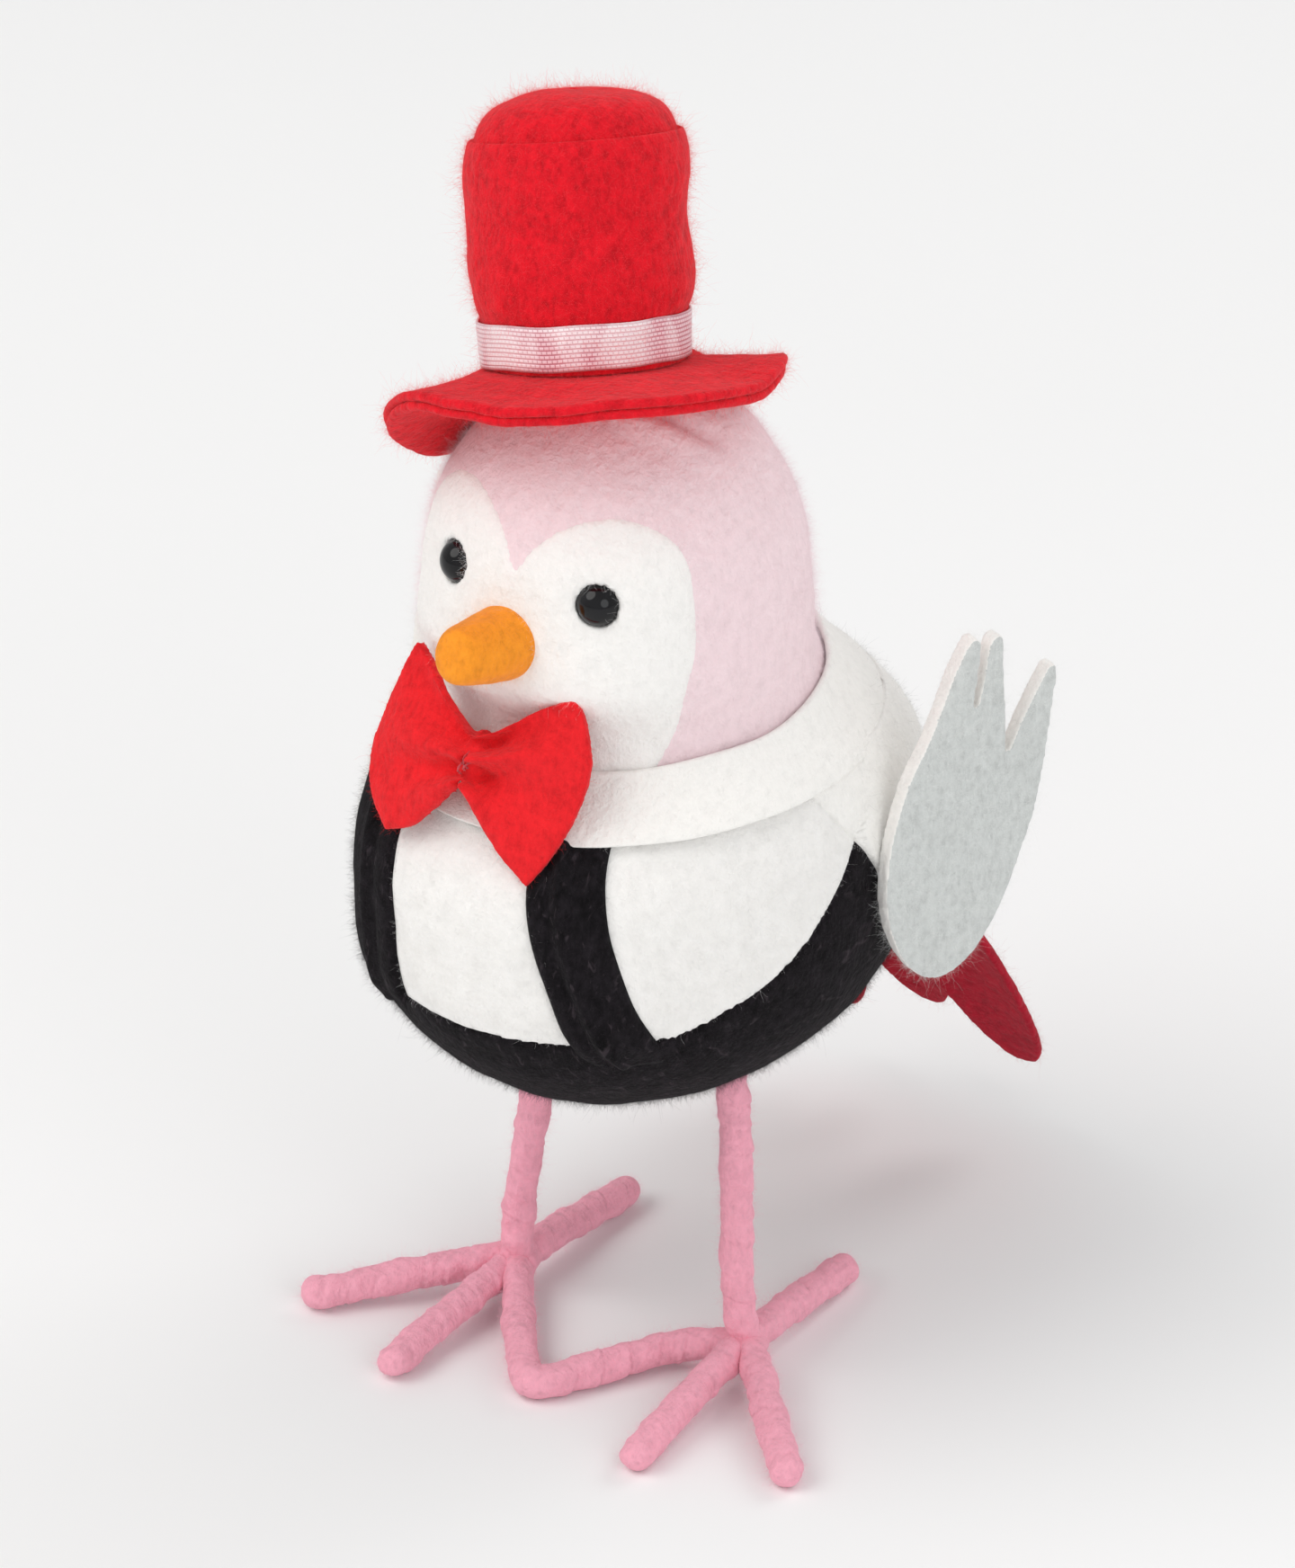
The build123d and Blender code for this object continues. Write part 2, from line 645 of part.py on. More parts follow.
for side, foot in feet.items():
    leg_bore = bent_rod(foot["leg_path"], LEG_BEND, WIRE_RADIUS + FIT)
    toe_bore = bent_rod(foot["toe_path"], HEEL_BEND, WIRE_RADIUS + FIT)
    bridge_bore = bent_rod(bridge_path, BRIDGE_RADII, WIRE_RADIUS + FIT)

    with BuildPart() as leg_wire:
        add(bent_rod(foot["leg_path"], LEG_BEND, WIRE_RADIUS))
    leg_wire.part.label = f"{side}_leg_wire"
    export_step(leg_wire.part, f"parts/{side}_leg_wire.step")

    with BuildPart() as toe_wire:
        add(bent_rod(foot["toe_path"], HEEL_BEND, WIRE_RADIUS))
    toe_wire.part.label = f"{side}_toe_wire"
    export_step(toe_wire.part, f"parts/{side}_toe_wire.step")

    with BuildPart() as leg_wrap:
        add(foot["leg"])
        add(foot["knot"], mode=Mode.SUBTRACT)
        add(leg_bore, mode=Mode.SUBTRACT)
    leg_wrap.part.label = f"{side}_leg_wrap"
    export_step(leg_wrap.part, f"parts/{side}_leg_wrap.step")

    with BuildPart() as ankle_wrap:
        add(foot["knot"])
        for bore in (leg_bore, toe_bore, bridge_bore):
            add(bore, mode=Mode.SUBTRACT)
    ankle_wrap.part.label = f"{side}_ankle_wrap"
    export_step(ankle_wrap.part, f"parts/{side}_ankle_wrap.step")

    for name, tube in foot["toes"].items():
        with BuildPart() as toe_wrap:
            add(tube)
            add(foot["knot"], mode=Mode.SUBTRACT)
            if name != "middle":
                add(foot["toes"]["middle"], mode=Mode.SUBTRACT)
            for bore in (leg_bore, toe_bore, bridge_bore):
                add(bore, mode=Mode.SUBTRACT)
            split(bisect_by=Plane.XY, keep=Keep.TOP)
        toe_wrap.part.label = f"{side}_{name}_toe_wrap"
        export_step(toe_wrap.part, f"parts/{side}_{name}_toe_wrap.step")

# The right foot's inner toe runs on as a bridge to the left ankle
with BuildPart() as bridge_wire:
    add(bent_rod(bridge_path, BRIDGE_RADII, WIRE_RADIUS))
bridge_wire.part.label = "bridge_wire"
export_step(bridge_wire.part, "parts/bridge_wire.step")

with BuildPart() as bridge_wrap:
    add(bent_rod(bridge_path, BRIDGE_RADII, WRAP_RADIUS))
    add(bent_rod(bridge_path, BRIDGE_RADII, WIRE_RADIUS + FIT), mode=Mode.SUBTRACT)
    for foot in feet.values():
        add(foot["knot"], mode=Mode.SUBTRACT)
        add(foot["toes"]["middle"], mode=Mode.SUBTRACT)
        add(foot["toes"]["back"], mode=Mode.SUBTRACT)
        add(foot["leg"], mode=Mode.SUBTRACT)
    split(bisect_by=Plane.XY, keep=Keep.TOP)
bridge_wrap.part.label = "bridge_wrap"
export_step(bridge_wrap.part, "parts/bridge_wrap.step")
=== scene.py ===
"""Visual model of the stuffed felt songbird: fleece skins, felt pieces, wound legs, hat and bow.

The helpers work in millimetres, measured from the bird's own upright axis (across to the bird's
left, deep to its back, up), and put() turns them into metres in the row frame.
"""

import math

import bmesh
import bpy
import numpy as np
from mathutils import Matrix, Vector, noise
from mathutils.bvhtree import BVHTree


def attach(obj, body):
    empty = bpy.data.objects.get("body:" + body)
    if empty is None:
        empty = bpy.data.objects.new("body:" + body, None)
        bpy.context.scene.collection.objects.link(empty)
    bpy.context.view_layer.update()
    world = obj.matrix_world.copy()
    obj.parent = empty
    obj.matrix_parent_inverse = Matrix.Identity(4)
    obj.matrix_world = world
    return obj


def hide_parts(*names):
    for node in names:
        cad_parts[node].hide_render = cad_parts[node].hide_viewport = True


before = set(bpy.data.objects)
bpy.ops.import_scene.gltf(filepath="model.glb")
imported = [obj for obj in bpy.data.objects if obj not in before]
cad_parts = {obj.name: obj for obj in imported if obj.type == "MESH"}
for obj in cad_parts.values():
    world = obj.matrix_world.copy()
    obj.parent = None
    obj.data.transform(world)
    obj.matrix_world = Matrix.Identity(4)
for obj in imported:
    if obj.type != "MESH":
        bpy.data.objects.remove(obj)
bpy.context.view_layer.update()

MM = 0.001
AXIS = Vector((-3.7, -23.7, 0.0))
LEFT, UP = Vector((1, 0, 0)), Vector((0, 0, 1))
SIDES = (("left", 1), ("right", -1))


def put(across, deep, up):
    """Row-frame point in metres for a point given from the bird's axis in millimetres."""
    return (AXIS + Vector((across, deep, up))) * MM


def ring(around):
    """Directions evenly spaced round a circle."""
    return [2 * math.pi * k / around for k in range(around)]


def polar(turn, radius, up):
    return (math.cos(turn) * radius, math.sin(turn) * radius, up)


def grid_faces(rows, size, rows_meet=False, open_row=False, flip=False, capped=False):
    """Quads between rows of size points, and a cap over the first and the last row."""
    faces = []
    for j in range(rows if rows_meet else rows - 1):
        here, there = j * size, (j + 1) % rows * size
        for k in range(size - 1 if open_row else size):
            m = (k + 1) % size
            quad = (here + k, here + m, there + m, there + k)
            faces.append((quad[0], *quad[:0:-1]) if flip else quad)
    if capped:
        first, last = tuple(range(size)), tuple(range((rows - 1) * size, rows * size))
        faces += [first, last[::-1]] if flip else [first[::-1], last]
    return faces


def add_object(name, data):
    made = bpy.data.objects.new(name, data)
    bpy.context.scene.collection.objects.link(made)
    return made


# ---------------------------------------------------------------- camera, light and floor
AZIMUTH, ELEVATION = math.radians(34), math.radians(29)
LENS, SENSOR = 169.37, 36
AIM_UP, AIM_RIGHT = 89.45, 4.32  # where the camera looks, from the foot of the bird's axis
to_camera = Vector((
    math.sin(AZIMUTH) * math.cos(ELEVATION),
    -math.cos(AZIMUTH) * math.cos(ELEVATION),
    math.sin(ELEVATION),
))
camera_right = Vector((math.cos(AZIMUTH), math.sin(AZIMUTH), 0))
target = put(0, 0, AIM_UP) + camera_right * AIM_RIGHT * MM
camera_data = bpy.data.cameras.new("camera")
camera_data.lens = LENS
camera_data.sensor_width = SENSOR
camera_data.clip_start = 0.01
camera_data.clip_end = 50
camera = add_object("camera", camera_data)
camera.location = target + to_camera
camera.rotation_mode = "QUATERNION"
camera.rotation_quaternion = (-to_camera).to_track_quat("-Z", "Y")
bpy.context.scene.camera = camera


def area_light(name, place, aim, size, power, tint=(1, 1, 1)):
    data = bpy.data.lights.new(name, "AREA")
    data.shape = "DISK"
    data.size = size
    data.energy = power
    data.color = tint
    light = add_object(name, data)
    light.location = place
    light.rotation_mode = "QUATERNION"
    light.rotation_quaternion = (aim - Vector(place)).to_track_quat("-Z", "Y")


heart = put(0, 0, 95)
area_light("key", (-0.55, -0.75, 1.15), heart, 1.1, 7.6, (1.0, 0.985, 0.965))
area_light("fill", (0.95, -0.55, 0.55), heart, 0.8, 2.8, (0.96, 0.98, 1.0))
area_light("rim", (0.35, 0.9, 0.9), heart, 0.6, 2.5)

world = bpy.data.worlds.new("studio")
world.use_nodes = True
background = world.node_tree.nodes["Background"]
background.inputs["Color"].default_value = (1, 1, 1, 1)
background.inputs["Strength"].default_value = 0.65
bpy.context.scene.world = world
bpy.context.scene.view_settings.view_transform = "Standard"

# Floor that bends up into a wall behind the bird, in metres
REACH, BACK, WALL_TOP = 4.0, 1.6, 5.0
BEND_RADIUS, BEND_STEPS = 0.8, 16
FLOOR_DROP = 0.0002  # keeps it clear of the toes
profile = [(-REACH, 0.0), (BACK, 0.0)]
for step in range(1, BEND_STEPS + 1):
    turn = math.pi / 2 * step / BEND_STEPS
    profile.append((BACK + BEND_RADIUS * math.sin(turn), BEND_RADIUS * (1 - math.cos(turn))))
profile.append((BACK + BEND_RADIUS, WALL_TOP))
away = Vector((-to_camera.x, -to_camera.y, 0)).normalized()
floor_points = []
for along, height in profile:
    for side in (-REACH, REACH):
        floor_points.append(away * along + camera_right * side + UP * (height - FLOOR_DROP))
floor_mesh = bpy.data.meshes.new("floor")
floor_mesh.from_pydata(floor_points, [], grid_faces(len(profile), 2, open_row=True))
floor_mesh.polygons.foreach_set("use_smooth", [True] * len(floor_mesh.polygons))
floor = add_object("floor", floor_mesh)


# ---------------------------------------------------------------- materials
BLACK, WHITE = (0, 0, 0), (1, 1, 1)


def linear(rgb):
    """Linear colour from 0-255 display values."""
    shares = [c / 255 for c in rgb]
    return tuple(c / 12.92 if c <= 0.04045 else ((c + 0.055) / 1.055) ** 2.4 for c in shares)


def scaled(colour, by):
    """A lighter or darker colour, with no channel past 1."""
    return tuple(min(1, c * by) for c in colour)


class Nodes:
    """Short hand for building a material's node tree. Sockets are named with _ for a space."""

    def __init__(self, name, **shader):
        self.material = bpy.data.materials.new(name)
        self.material.use_nodes = True
        self.tree = self.material.node_tree
        self.shader = self.tree.nodes["Principled BSDF"]
        for key, value in shader.items():
            self.shader.inputs[key.replace("_", " ")].default_value = value
        self.place = self.add("ShaderNodeTexCoord").outputs["Object"]

    def add(self, kind, **values):
        node = self.tree.nodes.new(kind)
        for key, value in values.items():
            if hasattr(node, key):
                setattr(node, key, value)
            else:
                node.inputs[key.replace("_", " ")].default_value = value
        return node

    def link(self, output, target_input):
        self.tree.links.new(output, target_input)

    def paint(self, tint):
        self.link(tint, self.shader.inputs["Base Color"])

    def stretched(self, scale, turn=(0, 0, 0), vector=None):
        node = self.add("ShaderNodeMapping", Scale=scale, Rotation=turn)
        self.link(self.place if vector is None else vector, node.inputs["Vector"])
        return node.outputs["Vector"]

    def noise(self, scale, detail=3.0, rough=0.55, distortion=0.0, vector=None):
        node = self.add("ShaderNodeTexNoise", Scale=scale, Detail=detail, Roughness=rough,
                        Distortion=distortion)
        self.link(self.place if vector is None else vector, node.inputs["Vector"])
        return node.outputs["Fac"]

    def ramp(self, value, stops):
        node = self.add("ShaderNodeValToRGB")
        while len(node.color_ramp.elements) < len(stops):
            node.color_ramp.elements.new(0.5)
        for element, (at, colour) in zip(node.color_ramp.elements, stops):
            element.position = at
            element.color = (*colour, 1)
        self.link(value, node.inputs["Fac"])
        return node.outputs["Color"]

    def mix(self, fac, a, b, kind="MIX"):
        node = self.add("ShaderNodeMix", data_type="RGBA", blend_type=kind)
        for socket, value in ((node.inputs[0], fac), (node.inputs[6], a), (node.inputs[7], b)):
            if isinstance(value, bpy.types.NodeSocket):
                self.link(value, socket)
            else:
                socket.default_value = value if socket.type == "VALUE" else (*value, 1)
        return node.outputs[2]

    def sums(self, parts):
        """Weighted sum of values."""
        total = None
        for value, weight in parts:
            node = self.add("ShaderNodeMath", operation="MULTIPLY")
            self.link(value, node.inputs[0])
            node.inputs[1].default_value = weight
            if total is None:
                total = node.outputs[0]
                continue
            joined = self.add("ShaderNodeMath", operation="ADD")
            self.link(total, joined.inputs[0])
            self.link(node.outputs[0], joined.inputs[1])
            total = joined.outputs[0]
        return total

    def bump(self, height, strength, distance):
        node = self.add("ShaderNodeBump", Strength=strength, Distance=distance)
        self.link(height, node.inputs["Height"])
        self.link(node.outputs["Normal"], self.shader.inputs["Normal"])


FIBRE_WAYS = (  # share of the relief, stretch, turn, detail and distortion of each lay of fibres
    (0.36, (1.0, 0.22, 0.5), (0.3, 0.5, 0.9), 4, 0.35),
    (0.34, (0.25, 1.0, 0.4), (0.8, -0.4, 0.2), 4, 0.35),
    (0.30, (0.8, 0.9, 0.2), (0.1, 0.2, -0.5), 3, 0.5),
)
NAP = 0.0006  # depth of the relief in metres


def cloth(name, colour, dark, light, fibre, mottle, bump, sheen, lint=None):
    """Fleece or felt: crossing fine fibres, a mottled tone, and a soft bloom at grazing angles."""
    base = linear(colour)
    n = Nodes(name, Roughness=0.95, Specular_IOR_Level=0.12, Sheen_Weight=sheen,
              Sheen_Roughness=0.45, Sheen_Tint=(*(0.5 + 0.5 * c for c in base), 1))
    lays = []
    for share, stretch, turn, detail, distortion in FIBRE_WAYS:
        place = n.stretched([fibre * s for s in stretch], turn)
        lays.append((n.noise(1.0, detail, 0.6, distortion, place), share))
    fibres = n.sums(lays)
    tone = n.noise(mottle, 4, 0.6)
    tint = n.ramp(n.sums([(fibres, 0.72), (tone, 0.28)]),
                  [(0.40, scaled(base, dark)), (0.5, base), (0.60, scaled(base, light))])
    if lint:
        place = n.stretched((fibre * 0.9, fibre * 0.12, fibre * 0.3), (0.5, 0.9, 0.3))
        specks = n.ramp(n.noise(1.0, 2, 0.5, 0.8, place), [(0.60, BLACK), (0.74, WHITE)])
        tint = n.mix(n.mix(1.0, specks, (lint[3],) * 3, "MULTIPLY"), tint, linear(lint[:3]))
    n.paint(tint)
    n.bump(n.sums([(fibres, 0.8), (n.noise(fibre * 0.5, 3, 0.6), 0.45), (tone, 0.5)]), bump, NAP)
    return n.material


pink_fleece = cloth("pink_fleece", (244, 222, 226), 0.94, 1.04, 1200, 700, 1.0, 0.25)
white_fleece = cloth("white_fleece", (247, 245, 242), 0.96, 1.02, 1200, 700, 1.0, 0.2)
white_felt = cloth("white_felt", (246, 244, 240), 0.95, 1.02, 1200, 700, 1.0, 0.2)
black_felt = cloth("black_felt", (24, 21, 24), 0.4, 1.8, 1500, 300, 1.0, 0.06,
                   lint=(88, 78, 84, 0.32))
bow_felt = cloth("bow_felt", (230, 38, 44), 0.8, 1.13, 1600, 500, 0.8, 0.15)
hat_felt = cloth("hat_felt", (222, 26, 40), 0.74, 1.18, 1500, 500, 1.0, 0.22)
# The tail's darker red is painted shade: it is the hat's red felt, darkened for its shaded underside.
tail_felt = cloth("tail_felt", (172, 26, 46), 0.76, 1.18, 1400, 300, 0.8, 0.15)
# The wing's grey is painted shade: the wing is white felt, painted grey where its face turns from the
# light.
wing_felt = cloth("wing_felt", (208, 211, 209), 0.87, 1.08, 1400, 900, 1.0, 0.15)
beak_felt = cloth("beak_felt", (246, 152, 44), 0.84, 1.12, 1500, 500, 0.9, 0.25)
leg_fleece = cloth("leg_fleece", (245, 172, 190), 0.88, 1.07, 1400, 800, 1.0, 0.25)
filling = cloth("filling", (240, 236, 230), 0.9, 1.02, 900, 90, 0.7, 0.2)
red_filling = cloth("red_filling", (196, 28, 40), 0.8, 1.1, 900, 200, 0.8, 0.2)

floor_look = Nodes("floor", Roughness=0.9, Specular_IOR_Level=0.1)
floor_look.paint(floor_look.ramp(floor_look.noise(3.0, 2),
                                 [(0.3, linear((243, 243, 243))), (0.7, linear((246, 246, 246)))]))
floor_mesh.materials.append(floor_look.material)


def fibre_material(name, colour, glow):
    """Loose fibres standing off a cloth."""
    n = Nodes(name, Roughness=0.9, Specular_IOR_Level=0.1, Sheen_Weight=0.2)
    base = linear(colour)
    n.paint(n.ramp(n.noise(400, 2), [(0.3, scaled(base, 0.85 * glow)), (0.7, scaled(base, 1.1 * glow))]))
    return n.material


def thread_material(name, colour):
    """Twisted sewing thread."""
    n = Nodes(name, Roughness=0.6, Sheen_Weight=0.3)
    base = linear(colour)
    twist = n.noise(1.0, 2, 0.5, 0.2, n.stretched((2600, 2600, 1200), (0.6, 0.3, 0.2)))
    n.paint(n.ramp(twist, [(0.35, scaled(base, 0.6)), (0.6, base)]))
    n.bump(twist, 0.6, 0.0002)
    return n.material


# ---------------------------------------------------------------- mesh helpers
def wobble(point, scale, seed=0.0):
    """Smooth noise from -1 to 1 at a point given in millimetres."""
    x, y, z = point
    return noise.noise(Vector((x * scale + seed, y * scale - seed * 0.7, z * scale + seed * 1.3)))


def smooth_step(x):
    x = min(1.0, max(0.0, x))
    return x * x * (3 - 2 * x)


def baked(work, name):
    """Mesh of a bmesh, which is let go."""
    mesh = bpy.data.meshes.new(name)
    work.to_mesh(mesh)
    work.free()
    return mesh


def hand_over(name, data, replaces, body="body"):
    """New piece that rides on a CAD body in place of the given CAD nodes."""
    piece = add_object(name, data)
    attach(piece, body)
    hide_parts(*replaces)
    return piece


def finish_piece(name, mesh, material, replaces, body="body"):
    mesh.materials.clear()
    mesh.materials.append(material)
    mesh.polygons.foreach_set("use_smooth", [True] * len(mesh.polygons))
    return hand_over(name, mesh, replaces, body)


def build(name, points, faces, material, replaces, body="body", outward=False, move=None):
    """New piece from points in metres; outward turns its faces out, and move shifts it."""
    mesh = bpy.data.meshes.new(name)
    mesh.from_pydata([tuple(p) for p in points], [], faces)
    mesh.update()
    if outward:
        work = bmesh.new()
        work.from_mesh(mesh)
        bmesh.ops.recalc_face_normals(work, faces=work.faces)
        work.to_mesh(mesh)
        work.free()
    if move:
        shift(mesh, move)
    return finish_piece(name, mesh, material, replaces, body)


def remesh(mesh, voxel, smooth_times):
    """Even, closed mesh of the same shape with its edges rounded."""
    work = bmesh.new()
    work.from_mesh(mesh)
    bmesh.ops.remove_doubles(work, verts=work.verts, dist=1e-6)
    holder = add_object("holder", baked(work, "clean"))
    grid = holder.modifiers.new("grid", "REMESH")
    grid.mode = "VOXEL"
    grid.voxel_size = voxel * MM
    soften = holder.modifiers.new("soften", "SMOOTH")
    soften.iterations = smooth_times
    soften.factor = 0.5
    shaped = holder.evaluated_get(bpy.context.evaluated_depsgraph_get())
    made = bpy.data.meshes.new_from_object(shaped)
    bpy.data.objects.remove(holder)
    return made


def cad_mesh(*names):
    """One mesh of the given CAD nodes."""
    work = bmesh.new()
    for name in names:
        work.from_mesh(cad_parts[name].data)
    return baked(work, "joined")


def shift(mesh, move):
    """Moves every vertex along its normal by move(point from the bird's axis, normal), in mm."""
    count = len(mesh.vertices)
    points, normals = np.empty(count * 3), np.empty(count * 3)
    mesh.vertices.foreach_get("co", points)
    mesh.vertex_normals.foreach_get("vector", normals)
    points, normals = points.reshape(-1, 3), normals.reshape(-1, 3)
    for k in range(count):
        local = points[k] / MM - np.array(AXIS)
        points[k] += normals[k] * (move(local, normals[k]) * MM)
    mesh.vertices.foreach_set("co", points.reshape(-1))
    mesh.update()


def tree_of(mesh):
    return BVHTree.FromPolygons([v.co.copy() for v in mesh.vertices],
                                [tuple(q.vertices) for q in mesh.polygons])


def near_nodes(piece, nodes, clear_of, within=0.45, clear=1.0):
    """Vertex group of the points that lie on the given CAD nodes and stay clear of the others."""
    near = tree_of(cad_mesh(*nodes))
    others = tree_of(cad_mesh(*clear_of)) if clear_of else None
    group = piece.vertex_groups.new(name="nap")
    inside = [v.index for v in piece.data.vertices
              if near.find_nearest(v.co, within * MM)[0] is not None
              and not (others and others.find_nearest(v.co, clear * MM)[0] is not None)]
    group.add(inside, 1.0, "REPLACE")


def fuzz(piece, colour, per_mm2, length, seed, extra=(), glow=1.05, thick=0.013, stray=1.5,
         only=None, clear_of=()):
    """Loose fibres all over a piece. They are hair, so they never count as geometry.

    extra adds longer fibres: number per mm2, length, thickness and how upright they stand.
    """
    area = sum(p.area for p in piece.data.polygons) / MM ** 2
    piece.data.materials.append(fibre_material(piece.name + "_fibres", colour, glow))
    if only:
        near_nodes(piece, only, clear_of)
    for number, (density, long, wide, upright) in enumerate([(per_mm2, length, thick, 1.0), *extra]):
        hair = piece.modifiers.new(f"fuzz_{number}", "PARTICLE_SYSTEM").particle_system
        hair.seed = seed + number
        if only:
            hair.vertex_group_density = "nap"
        setup = hair.settings
        setup.type = "HAIR"
        setup.count = max(10, int(area * density * (1)))
        setup.use_advanced_hair = True
        setup.hair_step = 4
        setup.render_step = 3
        setup.display_step = 3
        setup.hair_length = long * MM  # sets the normal factor to a quarter of it
        setup.normal_factor *= upright
        setup.factor_random = stray * long * MM / 4
        setup.brownian_factor = 0.5 * long * MM
        setup.length_random = 0.6
        setup.root_radius = 1.0
        setup.tip_radius = 0.35
        setup.radius_scale = wide * MM
        setup.emit_from = "FACE"
        setup.distribution = "RAND"
        setup.use_emit_random = True
        setup.material = len(piece.data.materials)


def catmull(p, t):
    """Catmull-Rom point at a share of the way from p[1] to p[2]."""
    return 0.5 * (2 * p[1] + (p[2] - p[0]) * t + (2 * p[0] - 5 * p[1] + 4 * p[2] - p[3]) * t * t
                  + (3 * p[1] - p[0] - 3 * p[2] + p[3]) * t ** 3)


def spline(points, count):
    """Smooth line through the given points, with count points to each span."""
    made = []
    last = len(points) - 1
    for span in range(last):
        p = [Vector(points[min(max(span + k, 0), last)]) for k in (-1, 0, 1, 2)]
        made += [catmull(p, step / count) for step in range(count)]
    return made + [Vector(points[-1])]


def smooth_pairs(line, count):
    """Smooth line through pairs of numbers."""
    return [(p.x, p.y) for p in spline([(*q, 0) for q in line], count)]


def along_line(line, share):
    """Point at a share of the way along a smooth line of pairs or triples."""
    fine = spline([(*p, 0)[:3] for p in line], 12)
    spot = share * (len(fine) - 1)
    k = min(int(spot), len(fine) - 2)
    return fine[k].lerp(fine[k + 1], spot - k)


# ---------------------------------------------------------------- stuffed body and head
core = BVHTree.FromObject(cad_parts["stuffing"], bpy.context.evaluated_depsgraph_get())
SKIN = 1.25  # from the stuffing to the skins' outer face
EYE_OUT, EYE_UP = 10.9, 128.8


def body_reach(turn, up, deep):
    """Distance from the upright line at that depth to the skin's outer face, in that direction."""
    run = Vector((math.cos(turn), math.sin(turn), 0))
    hit, _, _, far = core.ray_cast(put(0, deep, up), run)
    return far / MM + SKIN if hit is not None else 10.0


def skin_piece(name, under, voxel, proud, seed, material, swell=None):
    """A sewn skin: its CAD solid, and those it runs on under, with rounded and uneven faces."""
    mesh = remesh(cad_mesh(name, *under), voxel, 4)
    own = tree_of(cad_mesh(name))

    def move(p, n):
        if p[0] * n[0] + (p[1] - 4) * n[1] + (p[2] - 90) * n[2] * 0.6 < 0:  # the inner face
            return 0.0
        soft = 0.28 * wobble(p, 0.075, seed) + 0.16 * wobble(p, 0.21, seed + 5)
        soft += 0.06 * wobble(p, 0.7, seed + 9)
        covered = own.find_nearest(put(*p))[3] / MM if under else 0.0
        sunk = 0.8 * smooth_step((covered - 0.7) / 1.8)
        return soft + proud + (swell(p) if swell else 0.0) - sunk

    shift(mesh, move)
    piece = finish_piece("skin_" + name, mesh, material, (name,))
    return piece


DART_START, DART_END = np.array((9.0, -3.1, 149.5)), np.array((18.0, 1.5, 143.8))
DART_RUN = (DART_END - DART_START) / np.linalg.norm(DART_END - DART_START)
DART_LONG = 13.0


def head_dart(p):
    """The sewn dart that runs from under the brim down the bird's left of its crown."""
    t = float(np.dot(p - DART_START, DART_RUN))
    if not -5 < t < DART_LONG:
        return 0.0
    off = float(np.linalg.norm(p - DART_START - DART_RUN * t))
    fade = 1 - smooth_step(t / DART_LONG)
    groove, welt = math.exp(-(off / 1.1) ** 2), math.exp(-((off - 3.2) / 1.8) ** 2)
    return -1.7 * fade * groove + 0.75 * fade * welt


def eye_dimple(p):
    """The fleece is drawn in round each bead."""
    dip = 0.0
    for _, sign in SIDES:
        far = float(np.linalg.norm(p - np.array((sign * EYE_OUT, -22.3, EYE_UP))))
        dip -= 0.35 * math.exp(-(far / 3.7) ** 4)
    return dip


WHITE_FIBRE, BLACK_FIBRE, RED_FIBRE = (250, 249, 247), (32, 28, 32), (238, 62, 70)
PINK_FIBRE, LEG_FIBRE = (246, 226, 230), (249, 192, 206)
head = skin_piece("head_skin", ("face_mask",), 0.62, 0.0, 3.0, pink_fleece, head_dart)
mask = skin_piece("face_mask", (), 0.5, 0.22, 3.0, white_fleece, eye_dimple)
shirt = skin_piece("shirt", ("trousers",), 0.75, 0.0, 17.0, white_fleece)
trousers = skin_piece("trousers", (), 0.7, 0.42, 17.0, black_felt)
fuzz(head, PINK_FIBRE, 7.0, 0.75, 1, ((1.5, 1.4, 0.012, 0.3),), only=("head_skin",))
fuzz(mask, WHITE_FIBRE, 7.0, 0.7, 3, ((1.5, 1.4, 0.012, 0.3),))
fuzz(shirt, WHITE_FIBRE, 6.0, 0.5, 5, ((1.5, 1.1, 0.012, 0.2),), only=("shirt",),
     clear_of=("trousers", "left_strap", "right_strap"))
fuzz(trousers, BLACK_FIBRE, 8.0, 0.6, 7, ((1.0, 1.3, 0.012, 0.3),), glow=1.0)
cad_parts["stuffing"].data.materials[0] = filling
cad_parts["hat_filling"].data.materials[0] = red_filling

# ---------------------------------------------------------------- collar
COLLAR_FOOT, COLLAR_TOP = (98.6, 0.06), (107.4, 0.15)  # level of the edge, and its rise to the back
ROUND, TALL = 220, 26


def skin_level(turn, sway, line, deep, reach):
    """Height at which a tilted line meets the skin in a direction."""
    for _ in range(3):
        up = line[0] + line[1] * (deep + reach * sway.y)
        reach = body_reach(turn, up, deep)
    return up


section = []  # share of the height, distance out from the skin: up the outside, down the inside
for k in range(TALL):
    t = k / (TALL - 1)
    roll = math.sin(math.pi * min(1, t * 1.05)) ** 0.8
    section.append((t, 1.55 + 0.75 * roll + 0.55 * (1 - t) ** 2))
section += [(1.035, 1.35), (1.04, 0.8), (1.0, 0.35), (0.75, 0.12), (0.5, 0.12), (0.25, 0.15),
            (0.05, 0.4), (-0.03, 0.9), (-0.035, 1.5)]
points = []
for turn in ring(ROUND):
    sway = Vector((math.cos(turn), math.sin(turn), 0))
    low = skin_level(turn, sway, COLLAR_FOOT, 5, 30.0) + 0.45 * wobble(sway * 9, 0.3, 8.0)
    high = skin_level(turn, sway, COLLAR_TOP, 4, 26.0) + 0.5 * wobble(sway * 9, 0.25, 2.0)
    for share, out in section:
        up = low + (high - low) * share
        held = min(1, max(0, share))
        reach = body_reach(turn, min(max(up, low), high), 5 - held)
        place = Vector((0, 5 - held, up)) + sway * (reach + out)
        place += sway * (0.35 * wobble(place, 0.11, 31.0) * math.sin(math.pi * held))
        points.append(put(*place))
collar = build("felt_collar", points, grid_faces(ROUND, len(section), rows_meet=True), white_felt,
               ("collar",))
collar.modifiers.new("round", "SUBSURF").render_levels = 1
